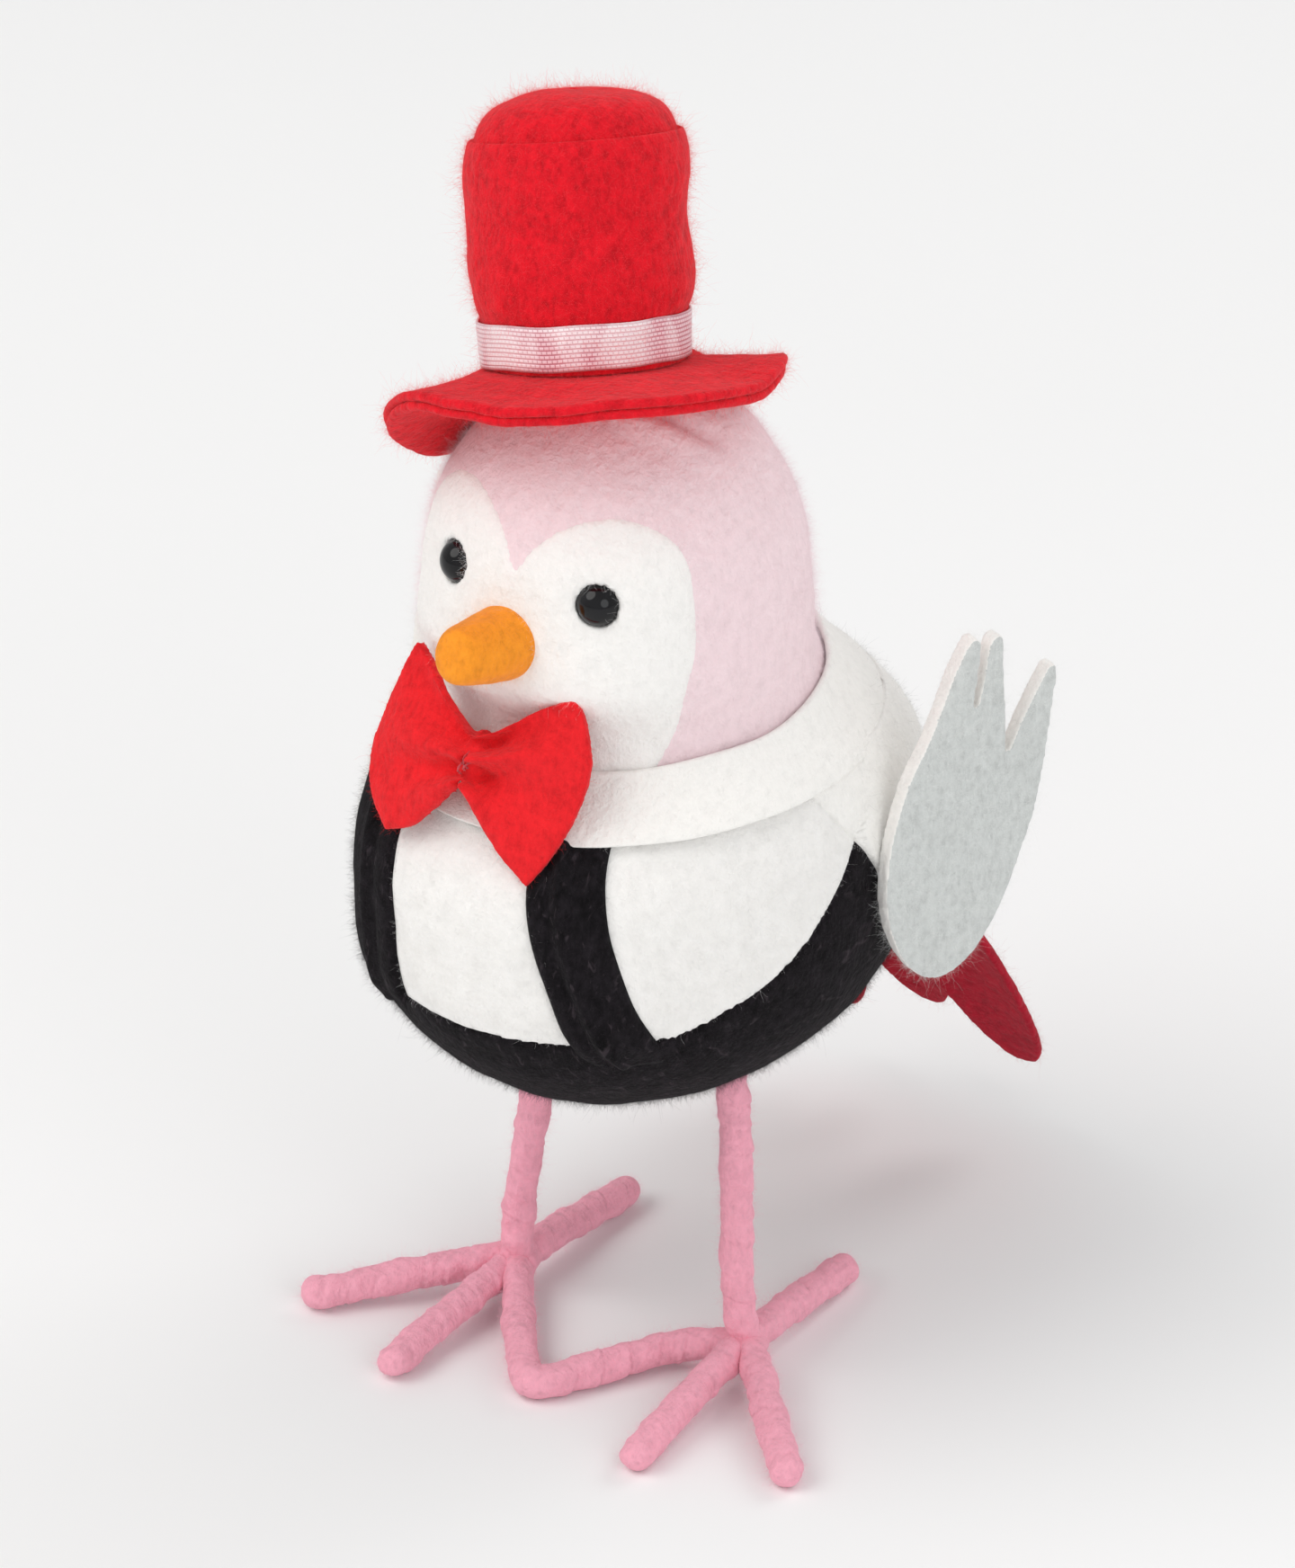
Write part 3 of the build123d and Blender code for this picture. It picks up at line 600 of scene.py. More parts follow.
fuzz(collar, (250, 249, 246), 5.0, 0.6, 9, ((1.2, 1.4, 0.012, 0.3),))

# ---------------------------------------------------------------- straps
skins = tree_of(cad_mesh("shirt", "trousers", "stuffing"))
STRAPS = {  # bird's side; inner and outer edge from the middle, at the foot and at the head
    "left": (1, (15.6, 24.6), (5.6, 15.2)),
    "right": (-1, (10.8, 23.5), (15.2, 26.0)),
}
STRAP_FOOT, STRAP_HEAD = 65.5, 100.4
STRAP_ROWS, STRAP_COLUMNS = 64, 24


def strip(name, rows, under, uneven, grain, material, replaces, outward=False):
    """Felt laid on the skins: rows of (point, normal, height above it), sunk by under."""
    points = []
    for row in rows:
        for hit, normal, lift in row:
            points.append(hit + normal * (lift + uneven * wobble(hit / MM, *grain)) * MM)
        points += [hit - normal * under * MM for hit, normal, _ in reversed(row)]
    faces = grid_faces(len(rows), 2 * len(rows[0]), flip=True, capped=True)
    return build(name, points, faces, material, replaces, outward=outward)


for side, (sign, at_foot, at_head) in STRAPS.items():
    rows = []
    for j in range(STRAP_ROWS):
        t = j / (STRAP_ROWS - 1)
        up = STRAP_FOOT + (STRAP_HEAD - STRAP_FOOT) * t
        inner, outer = [foot + (top - foot) * t for foot, top in zip(at_foot, at_head)]
        half = (outer - inner) / 2 * (1 + 0.04 * wobble((0, 0, up), 0.15, 4.0))
        under_collar = 1 - 0.75 * smooth_step((up - 95.6) / 2.2)
        into_waist = 0.9 * (1 - smooth_step((up - STRAP_FOOT) / 4.0))
        row = []
        for k in range(STRAP_COLUMNS):
            s = -1 + 2 * k / (STRAP_COLUMNS - 1)
            start = put(sign * ((inner + outer) / 2 + half * s), -90, up)
            hit, normal, _, _ = skins.ray_cast(start, Vector((0, 1, 0)))
            edge = (1 - abs(s) ** 5) ** 0.5
            fold = 0.8 * math.exp(-((s + 0.12) / 0.16) ** 2)
            fold -= 0.35 * math.exp(-((s + 0.42) / 0.12) ** 2)
            row.append((hit, normal, (0.35 + 1.05 * edge + fold * edge) * under_collar - into_waist))
        rows.append(row)
    strap = strip(f"felt_{side}_strap", rows, 0.5, 0.12, (0.3, 6.0), black_felt,
                  (f"{side}_strap",))
    fuzz(strap, BLACK_FIBRE, 9.0, 0.6, 11, ((1.0, 1.3, 0.012, 0.3),), glow=1.0)

# ---------------------------------------------------------------- bow tie
KNOT = Vector((-2.6, -30.7, 106.3))
KNOT_TOP, KNOT_FOOT = 3.3, -3.6
bow_up = Vector((0, 0.38, 0.925)).normalized()
bow_out = LEFT.cross(bow_up)  # the way its face looks
BOW_EDGES = {  # upper edge from the knot, outer edge from top to bottom, lower edge from the knot
    1: ([(0.0, 3.3), (3.4, 5.0), (7.6, 8.5), (11.2, 10.9), (12.9, 11.4)],
        [(12.9, 11.4), (14.6, 9.4), (16.3, 5.6), (16.9, 2.6), (16.2, -3.6), (14.0, -9.8),
         (11.6, -14.2)],
        [(0.0, -3.6), (1.6, -5.2), (4.4, -8.4), (8.2, -11.9), (11.6, -14.2)]),
    -1: ([(0.0, 3.3), (3.0, 4.9), (7.6, 8.5), (11.8, 11.6), (13.5, 12.6)],
         [(13.5, 12.6), (14.6, 9.8), (16.2, 3.6), (17.3, -2.2), (17.2, -5.6), (15.4, -9.6),
          (12.0, -12.9)],
         [(0.0, -3.6), (1.4, -5.0), (4.2, -7.9), (7.8, -11.2), (12.0, -12.9)]),
}
BOW_HOLLOWS = {1: ((0.22, 0.28), (0.2, 0.76)), -1: ((0.18, 0.5),)}  # out from the knot, down
BOW_SWEEP = math.radians(15)
BOW_THICK = 1.5
NU, NV = 34, 46

bow_points, bow_faces = [], []
for sign in (1, -1):
    top, outer, bottom = BOW_EDGES[sign]
    outward = Vector((sign, 0, 0))
    side_run = outward * math.cos(BOW_SWEEP) - bow_out * math.sin(BOW_SWEEP)
    face_run = bow_out * math.cos(BOW_SWEEP) + outward * math.sin(BOW_SWEEP)
    rim_spots = [along_line(outer, j / (NV - 1)) for j in range(NV)]
    base = len(bow_points)
    front = []
    for i in range(NU):
        u = i / (NU - 1)
        gather = (1 - u) ** 1.3
        off_top = along_line(top, u) - Vector((0, KNOT_TOP, 0)).lerp(rim_spots[0], u)
        off_foot = along_line(bottom, u) - Vector((0, KNOT_FOOT, 0)).lerp(rim_spots[-1], u)
        for j in range(NV):
            v = j / (NV - 1)
            flat = Vector((0, KNOT_TOP + (KNOT_FOOT - KNOT_TOP) * v, 0)).lerp(rim_spots[j], u)
            flat += off_top * (1 - v) + off_foot * v
            pleat = 2.6 * gather * math.cos(v * math.pi * 4 + 0.9)
            pleat += 0.5 * (u * (1 - u)) * math.cos(v * math.pi * 3 + sign)
            cup = 1.76 * (1 - (2 * v - 1) ** 2) * math.sin(math.pi * u * 0.9)
            cup -= sum(1.7 * math.exp(-((u - at) / 0.13) ** 2 - ((v - down) / 0.09) ** 2)
                       for at, down in BOW_HOLLOWS[sign])
            uneven = 0.35 * wobble((flat.x * sign, flat.y, 3), 0.22, 12.0 + sign)
            depth = pleat + cup - 0.9 * gather + uneven
            front.append(KNOT + side_run * flat.x + bow_up * flat.y + face_run * depth)
    for half in (BOW_THICK / 2, -BOW_THICK / 2):
        bow_points += [put(*(spot + face_run * half)) for spot in front]
    back = NU * NV
    quads = []
    for i in range(NU - 1):
        for j in range(NV - 1):
            a = i * NV + j
            quad = (a, a + NV, a + NV + 1, a + 1)
            quads += [quad, tuple(k + back for k in quad[::-1])]
    rim = [i * NV for i in range(NU)] + [(NU - 1) * NV + j for j in range(1, NV)]
    rim += [i * NV + NV - 1 for i in range(NU - 2, -1, -1)] + list(range(NV - 2, 0, -1))
    quads += [(a + back, b + back, b, a) for a, b in zip(rim, rim[1:] + rim[:1])]
    bow_faces += [tuple(base + k for k in (quad[::-1] if sign == 1 else quad)) for quad in quads]
bow_mesh = bpy.data.meshes.new("bow")
bow_mesh.from_pydata([tuple(p) for p in bow_points], [], bow_faces)
work = bmesh.new()
work.from_mesh(bow_mesh)
bmesh.ops.recalc_face_normals(work, faces=work.faces)
ball = bmesh.ops.create_uvsphere(work, u_segments=32, v_segments=24, radius=1.0)["verts"]
for vert in ball:  # the gathered middle
    x, y, z = vert.co
    pinch = 1 + 0.16 * math.cos(6 * math.atan2(z, x) + 1.0)
    vert.co = put(*(KNOT + LEFT * (x * 2.3 * pinch) + bow_up * (z * 3.6 * pinch)
                    + bow_out * (-3.5 + y * 3.9)))
work.to_mesh(bow_mesh)
work.free()
bow_solid = remesh(bow_mesh, 0.3, 1)
shift(bow_solid, lambda p, n: 0.10 * wobble(p, 0.5, 40) + 0.05 * wobble(p, 1.4, 44))
bow = finish_piece("felt_bow", bow_solid, bow_felt, ("bow_tie",))
fuzz(bow, (240, 62, 62), 4.0, 0.42, 13, ((0.8, 1.2, 0.012, 0.2),), glow=1.0)

# Stitches of two-ply thread over the gathered middle
STITCHES = [(-0.3, 0.9, 70), (0.2, -0.1, 95), (0.6, 0.5, 50)]  # across, down, direction
STITCH_LINE = [(-1, -0.9), (-0.5, 0.35), (0, 0.6), (0.5, 0.35), (1, -0.9)]  # along it, out
STITCH_HALF, THREAD_RADIUS = 1.2, 0.16
thread = bpy.data.curves.new("bow_stitches", "CURVE")
thread.dimensions = "3D"
thread.bevel_depth = THREAD_RADIUS * 0.55 * MM
thread.bevel_resolution = 3
for across, down, direction in STITCHES:
    turn = math.radians(direction)
    half = Vector((math.cos(turn), math.sin(turn))) * STITCH_HALF
    path = spline([KNOT + LEFT * (across + half.x * s) + bow_up * (-down + half.y * s)
                   + bow_out * (0.75 + out) for s, out in STITCH_LINE], 14)
    for ply in (0, math.pi):
        made = thread.splines.new("POLY")
        made.points.add(len(path) - 1)
        travelled = 0.0
        for k, p in enumerate(path):
            ahead = path[min(k + 1, len(path) - 1)] - path[max(k - 1, 0)]
            if k:
                travelled += (p - path[k - 1]).length
            side = ahead.cross(Vector((0.3, 0.9, 0.4))).normalized()
            other = ahead.cross(side).normalized()
            spin = travelled * 3.4 + ply
            spot = p + (side * math.cos(spin) + other * math.sin(spin)) * THREAD_RADIUS * 0.45
            made.points[k].co = (*put(*spot), 1)
thread.materials.append(thread_material("bow_thread_look", (206, 62, 74)))
hand_over("bow_stitches", thread, ("bow_thread",))

# ---------------------------------------------------------------- beak and eyes
BEAK = [  # middle of each ring, its half width and half height
    (-0.3, -20.5, 121.6, 4.9, 5.0), (-0.7, -24.5, 121.9, 5.0, 5.0), (-1.2, -28.0, 122.3, 4.75, 4.6),
    (-1.7, -31.0, 122.7, 4.1, 4.2), (-2.2, -33.2, 123.1, 3.4, 3.8), (-2.4, -34.1, 123.3, 2.6, 3.2),
    (-2.5, -34.45, 123.4, 1.4, 1.8), (-2.5, -34.5, 123.4, 0.4, 0.5),
]
BEAK_AROUND = 40
spots = spline([p[:3] for p in BEAK], 5)
halves = spline([(*p[3:], 0) for p in BEAK], 5)
points = []
for spot, half in zip(spots, halves):
    for turn in ring(BEAK_AROUND):
        up = math.sin(turn) * half.y
        place = spot + Vector((math.cos(turn) * half.x, 0.25 * up, up))
        place += Vector((math.cos(turn), 0, math.sin(turn))) * (0.14 * wobble(place, 0.5, 50))
        points.append(put(*place))
beak = build("felt_beak", points, grid_faces(len(spots), BEAK_AROUND, capped=True), beak_felt,
             ("beak",))
beak.modifiers.new("round", "SUBSURF").render_levels = 1
fuzz(beak, (250, 170, 70), 6.0, 0.55, 15, thick=0.009, stray=1.0)

bead = Nodes("bead", Roughness=0.07, Specular_IOR_Level=0.3)
bead.paint(bead.ramp(bead.noise(300, 2), [(0.4, (0.004, 0.004, 0.005)), (0.6, (0.008, 0.008, 0.010))]))
BEAD_RADIUS, SHANK_LONG = 3.1, 6.0
for side, sign in SIDES:
    middle = Vector((sign * EYE_OUT, -19.7, EYE_UP))
    run = Vector((-sign * 0.38, 0.92, 0)).normalized()  # into the head
    other = UP.cross(run)
    work = bmesh.new()
    bmesh.ops.create_uvsphere(work, u_segments=48, v_segments=32, radius=1.0)
    for vert in work.verts:
        dish = 0.06 * math.exp(-((1 - vert.co.z) / 0.02) ** 2)  # where the shank leaves
        local = vert.co * (1 - dish) * BEAD_RADIUS
        vert.co = put(*(middle + run * local.z * 0.97 + other * local.x + UP * local.y))
    shank = bmesh.ops.create_cone(work, segments=20, radius1=0.8 * MM, radius2=0.7 * MM,
                                  depth=SHANK_LONG * MM, cap_ends=True)
    for vert in shank["verts"]:
        spot = vert.co / MM
        vert.co = put(*(middle + run * (spot.z + 5.9) + other * spot.x + UP * spot.y))
    finish_piece(f"bead_{side}_eye", baked(work, "eye"), bead.material, (f"{side}_eye",))

# ---------------------------------------------------------------- top hat
hat_up = Vector((-0.21, 0.227, 1)).normalized()
hat_x = (LEFT - hat_up * hat_up.x).normalized()
hat_y = hat_up.cross(hat_x)
HAT_BASE = Vector((-2.9, -2.2, 150.2))
HAT_AROUND, CROWN_FOOT = 160, 2.6
LIFT_TURN = 2.2  # the crown is cut a little higher on one side


def on_hat(turn, radius, height):
    return HAT_BASE + (hat_x * math.cos(turn) + hat_y * math.sin(turn)) * radius + hat_up * height


def revolve(name, profile, dent, seed, replaces):
    """Felt turned about the hat's axis, made uneven by dent(turn, radius, height)."""
    points = []
    for turn in ring(HAT_AROUND):
        for radius, height in profile:
            out, lift = dent(turn, radius, height)
            points.append(put(*on_hat(turn, radius + out, height + lift)))
    faces = grid_faces(HAT_AROUND, len(profile), rows_meet=True, flip=True)
    piece = build(name, points, faces, hat_felt, replaces)
    piece.modifiers.new("round", "SUBSURF").render_levels = 1
    fuzz(piece, RED_FIBRE, 6.0, 0.42, seed, ((3.0, 1.9, 0.013, 0.12), (0.25, 1.2, 0.013, 0.8)),
         glow=1.1, thick=0.014)


def crown_dent(turn, radius, height):
    spot = polar(turn, 13, height)
    out = 0.8 * wobble(spot, 0.075, 60) + 0.5 * wobble(spot, 0.17, 63) + 0.14 * wobble(spot, 0.5, 66)
    tall = (height - CROWN_FOOT) / 30
    out *= smooth_step(tall * 6 - 1.2) * (1 - 0.8 * smooth_step((height - 28.5) / 3))
    # a shallow fold across the front, a third of the way down
    face = smooth_step((math.cos(turn - math.radians(-62)) - 0.3) / 0.7)
    out -= 0.55 * face * math.exp(-((height - 22.0 - 1.5 * math.sin(2 * turn)) / 1.9) ** 2)
    lift = 0.75 * smooth_step(tall * 3 - 1.6) * math.sin(turn + LIFT_TURN)
    return (out if radius > 10 else 0.0, lift)


def dome_dent(turn, radius, height):
    spot = polar(turn, radius, height)
    lumps = 0.5 * wobble(spot, 0.12, 70) + 0.15 * wobble(spot, 0.4, 73)
    lift = 0.75 * math.sin(turn + LIFT_TURN) * smooth_step(radius / 13)
    return (0.35 * lumps * smooth_step(radius / 6), lift + lumps * smooth_step(1.2 - radius / 13))


WALL = [(13.35, 2.6), (13.5, 5.0), (13.55, 8.6), (14.4, 11.0), (14.9, 14.5), (14.9, 18.5),
        (14.75, 23.0), (15.0, 26.5), (14.95, 29.0), (14.6, 31.0), (14.2, 32.4), (13.7, 32.6),
        (13.2, 31.5), (12.6, 30.8)]
WALL_INSIDE = [(12.3, 30.6), (12.4, 30.0), (12.6, 20.0), (12.3, 10.0), (12.2, 2.6)]
DOME = [(13.3, 29.6), (13.45, 31.4), (13.2, 33.1), (12.35, 35.1), (10.6, 36.8), (7.4, 38.0),
        (3.4, 38.5), (0.15, 38.55)]
DOME_INSIDE = [(0.15, 29.6), (6.0, 29.6)]
revolve("felt_hat_crown", smooth_pairs(WALL, 4) + WALL_INSIDE, crown_dent, 21, ("hat_crown",))
revolve("felt_hat_top", smooth_pairs(DOME, 4) + DOME_INSIDE, dome_dent, 23, ("hat_top",))

# Ribbon: satin weave in real relief, with bands of painted highlight along it, its ends lapped at the
# back
satin = Nodes("ribbon", Roughness=0.3, Specular_IOR_Level=0.7, Anisotropic=0.5, Sheen_Weight=0.2)
along_ribbon = satin.add("ShaderNodeUVMap").outputs["UV"]
floats = satin.add("ShaderNodeTexBrick", Scale=1.0, Mortar_Size=0.13, Mortar_Smooth=0.9,
                   Brick_Width=0.9, Row_Height=0.42, Color1=(1, 1, 1, 1),
                   Color2=(0.9, 0.9, 0.9, 1), Mortar=(0, 0, 0, 1))
satin.link(satin.stretched((118, 4.3, 1), vector=along_ribbon), floats.inputs["Vector"])
threads = floats.outputs["Color"]
# Bands along the ribbon are painted highlight: a near-white satin that stands in for its sheen.
highlight_bands = satin.noise(1.0, 2, 0.5, 0.4, satin.stretched((15, 0.5, 1), vector=along_ribbon))
dull = satin.mix(threads, linear((206, 128, 144)), linear((248, 216, 222)))
painted_highlight_satin = satin.mix(threads, linear((246, 214, 220)), linear((255, 248, 249)))
satin.paint(satin.mix(satin.ramp(highlight_bands, [(0.40, BLACK), (0.58, WHITE)]), dull, painted_highlight_satin))
satin.bump(threads, 0.5, 0.0003)
LAP, LAP_START = math.radians(16), math.radians(118)
RIBBON_ROUND, RIBBON_WIDE = 300, 9
points, ribbon_uv = [], []
for j in range(RIBBON_ROUND + 1):
    share = j / RIBBON_ROUND
    turn = LAP_START + (2 * math.pi + LAP) * share
    stacked = 0.5 * smooth_step((share - 0.955) / 0.02)
    for k in range(RIBBON_WIDE):
        s = k / (RIBBON_WIDE - 1)
        rim = 0.08 * (1 - abs(2 * s - 1) ** 6)
        wave = 0.22 * wobble(polar(turn, 14, s), 0.16, 80) + 0.5 * math.sin(turn + LIFT_TURN)
        radius = 13.75 + 0.28 * s + stacked + rim + 0.12 * wobble(polar(turn, 14, s * 6), 0.3, 84)
        points.append(put(*on_hat(turn, radius, 2.95 + 6.0 * s + wave)))
        ribbon_uv.append((share, s))
faces = grid_faces(RIBBON_ROUND + 1, RIBBON_WIDE, open_row=True, flip=True)
ribbon = build("satin_ribbon", points, faces, satin.material, ("hat_ribbon",))
layer = ribbon.data.uv_layers.new(name="UVMap")
for loop in ribbon.data.loops:
    layer.data[loop.index].uv = ribbon_uv[loop.vertex_index]
thicken = ribbon.modifiers.new("thick", "SOLIDIFY")
thicken.thickness = 0.3 * MM
thicken.offset = 0

# Brim: two felt discs; the front is waved and the back hangs down round the head
front_bearing = math.degrees(math.atan2(-math.cos(AZIMUTH), math.sin(AZIMUTH)))
DROOP = [  # bearing from the front towards the bird's left, drop of the rim, its radius
    (-180, 9.6, 24.2), (-150, 12.0, 24.6), (-125, 11.8, 25.6), (-103, 8.2, 26.2), (-82, 4.0, 26.4),
    (-62, 0.8, 26.2), (-40, 1.3, 26.0), (-18, 2.0, 26.0), (5, 1.5, 26.0), (30, 1.3, 26.0),
    (60, 1.6, 26.0), (82, 0.2, 26.0), (98, 0.6, 25.8), (115, 3.4, 25.3), (135, 6.4, 24.8),
    (157, 8.2, 24.4),
]
BRIM_AROUND, BRIM_RINGS = 220, 30
BRIM_THICK, BRIM_HOLE = 1.3, 3.0
FAR_BELOW = -99.0
head_tree = tree_of(head.data)


def head_height(turn, radius):
    """Height of the head's top below a point of the brim, along the hat's axis."""
    hit, _, _, far = head_tree.ray_cast(put(*on_hat(turn, radius, 12.0)), -hat_up)
    return 12.0 - far / MM if hit is not None else FAR_BELOW


def rim_shape(turn):
    """Drop and radius of the rim in a direction round the hat, smoothly from the table."""
    bearing = (math.degrees(turn) - front_bearing + 180) % 360 - 180
    count = len(DROOP)
    k = max(i for i in range(count) if DROOP[i][0] <= bearing)
    low, high = DROOP[k][0], DROOP[(k + 1) % count][0] + (360 if k == count - 1 else 0)
    p = [Vector((*DROOP[(k + i) % count][1:], 0)) for i in (-1, 0, 1, 2)]
    return catmull(p, (bearing - low) / (high - low))


def brim_layer(name, bottom, node, seed, trim):
    points = []
    for turn in ring(BRIM_AROUND):
        shape = rim_shape(turn)
        wide = shape.y - trim - BRIM_HOLE + 0.25 * wobble(polar(turn, 9, 1), 0.35, seed)
        spots = []
        for k in range(BRIM_RINGS):
            radius = BRIM_HOLE + wide * k / (BRIM_RINGS - 1)
            bend = smooth_step((radius - 11.5) / 15.5) ** 0.9
            lumps = 0.35 * wobble(polar(turn, radius, 2), 0.16, 90) * smooth_step((radius - 13) / 6)
            clear = head_height(turn, radius) + 0.3 + bottom if radius > 9 else FAR_BELOW
            spots.append((radius, max(bottom - shape.x * bend + lumps, clear)))
        rim_r, rim_h = spots[-1]
        nose = [(rim_r + out, rim_h + BRIM_THICK * share)
                for out, share in ((0.42, 0.78), (0.5, 0.5), (0.42, 0.22))]
        top = [(radius, height + BRIM_THICK) for radius, height in spots]
        points += [put(*on_hat(turn, *spot)) for spot in top + nose + spots[::-1]]
    size = len(points) // BRIM_AROUND
    faces = grid_faces(BRIM_AROUND, size, rows_meet=True, open_row=True)
    faces.append(tuple(j * size for j in range(BRIM_AROUND)))
    faces.append(tuple(j * size + size - 1 for j in reversed(range(BRIM_AROUND))))
    piece = build(name, points, faces, hat_felt, (node,), outward=True,
                  move=lambda p, n: 0.08 * wobble(p, 0.8, seed))
    fuzz(piece, RED_FIBRE, 5.0, 0.42, seed, ((2.5, 1.7, 0.013, 0.12), (0.25, 1.1, 0.013, 0.8)),
         glow=1.1, thick=0.014)


brim_layer("felt_brim_lower", 0.0, "brim_lower", 91, 0.25)
brim_layer("felt_brim_upper", BRIM_THICK, "brim_upper", 95, 0.0)


# ---------------------------------------------------------------- cut felt plates: wings and tail
def plate(name, stretches, origin, x_run, y_run, thick, bend, voxel, round_by, material,
          replaces, body):
    """Felt plate cut to smooth stretches of (x, y) points, bent by bend(x, y) along its normal."""
    normal = x_run.cross(y_run)
    outline = [p for stretch in stretches for p in smooth_pairs(stretch, 7)[:-1]]
    work = bmesh.new()
    lower = [work.verts.new((x * MM, y * MM, -thick / 2 * MM)) for x, y in outline]
    upper = [work.verts.new((x * MM, y * MM, thick / 2 * MM)) for x, y in outline]
    work.faces.new(upper)
    work.faces.new(lower[::-1])
    for k in range(len(outline)):
        m = (k + 1) % len(outline)
        work.faces.new((lower[k], lower[m], upper[m], upper[k]))
    mesh = remesh(baked(work, name), voxel, round_by)
    for vert in mesh.vertices:
        x, y, z = vert.co / MM
        vert.co = put(*(origin + x_run * x + y_run * y + normal * (z + bend(x, y))))
    mesh.update()
    shift(mesh, lambda p, n: 0.09 * wobble(p, 0.45, 101) + 0.05 * wobble(p, 1.3, 105))
    return finish_piece(name, mesh, material, replaces, body)


WING = [
    [(13.7, 30.9), (13.1, 25.0), (12.9, 18.6)],
    [(12.9, 18.6), (14.1, 24.6), (15.3, 30.4), (16.3, 31.9), (17.5, 31.9), (18.4, 30.6),
     (18.6, 22.0), (18.65, 12.8)],
    [(18.65, 12.8), (21.4, 18.4), (24.7, 24.9), (25.6, 25.5), (26.5, 25.0), (26.2, 20.0),
     (25.4, 13.0), (23.9, 4.4), (21.6, -2.0), (19.0, -8.4), (15.4, -13.8), (11.4, -16.9),
     (7.6, -17.4), (4.4, -15.4), (1.9, -11.6), (0.2, -6.0), (0.0, 0.0), (0.9, 6.6), (3.2, 14.0),
     (6.2, 19.6), (8.4, 24.2), (10.2, 29.2), (11.5, 32.3), (12.6, 33.5), (13.5, 32.7),
     (13.7, 30.9)],
]
WING_THICK = 2.5
FLARE = {1: math.radians(65), -1: math.radians(82)}
for side, sign in SIDES:
    outward = Vector((math.sin(FLARE[sign]) * sign, -math.cos(FLARE[sign]), 0))
    back_run = UP.cross(outward) * sign
    root = Vector((sign * 39.7, 6.4, 84.0)) - outward * 1.3

    def bend(x, y, sign=sign):
        tips = smooth_step((y - 14) / 22)
        return sign * (0.9 * tips * math.sin(x * 0.55 + 0.6) + 0.35 * math.sin(x * 0.2))

    wing = plate(f"felt_{side}_wing", WING, root, back_run, UP, WING_THICK, bend, 0.3, 6,
                 wing_felt, (f"{side}_wing",), f"{side}_wing")
    wing.data.materials.append(white_felt)  # the cut edge and the inner face keep the white felt; the grey of the outer face is painted shade
    face_way = back_run.cross(UP) * sign
    # Faces turned outward get the grey felt, which is painted shade; the others keep the white felt.
    for polygon in wing.data.polygons:
        ragged = 0.62 + 0.1 * wobble(polygon.center / MM, 0.35, 7.0)
        if polygon.normal.dot(face_way) < ragged:
            polygon.material_index = 1
    fuzz(wing, (240, 241, 239), 6.0, 0.55, 31, ((3.5, 1.8, 0.012, 0.2),), glow=1.0, thick=0.012)

# White felt at each shoulder, sewn to the flank behind the wing's root and tucked under the collar
TAB = [  # up, depth of its front edge, width to the back
    (100.0, -2.6, 39.0), (93.0, 1.9, 35.0), (89.5, 4.6, 27.0), (84.0, 8.2, 11.0), (80.0, 9.4, 7.6),
    (76.5, 10.6, 4.5),
]
TAB_THICK = {1: 1.2, -1: 0.55}
TAB_ROWS, TAB_COLUMNS = 72, 36
shoulders = [tree_of(shirt.data), tree_of(trousers.data)]
for side, sign in SIDES:
    rows = []
    for j in range(TAB_ROWS):
        t = j / (TAB_ROWS - 1)
        up, front, wide = along_line(TAB, t)
        front += 0.4 * wobble((up, 0, 0), 0.3, 3.0)
        taper = smooth_step((1 - t) / 0.05 + 0.2)
        row = []
        for k in range(TAB_COLUMNS):
            s = k / (TAB_COLUMNS - 1)
            start = put(sign * 90, front + wide * s, up)
            found = [tree.ray_cast(start, Vector((-sign, 0, 0))) for tree in shoulders]
            found = [cast for cast in found if cast[0] is not None]
            if found:
                hit, normal, _, _ = min(found, key=lambda cast: cast[3])
            lift = 0.1 + TAB_THICK[sign] * (1 - abs(2 * s - 1) ** 6) ** 0.5
            row.append((hit, normal, lift * taper))
        for k in range(1, TAB_COLUMNS - 1):  # the thread's holes are passed over
            middle = (row[k - 1][0] + row[k + 1][0]) / 2
            if (row[k][0] - middle).length > 0.3 * MM:
                row[k] = (middle, row[k - 1][1], row[k][2])
        rows.append(row)
    tab = strip(f"felt_{side}_wing_root", rows, 0.3, 0.15, (0.35, 9.0), white_felt,
                (f"{side}_wing_thread",), outward=True)
    fuzz(tab, WHITE_FIBRE, 6.0, 0.6, 33)

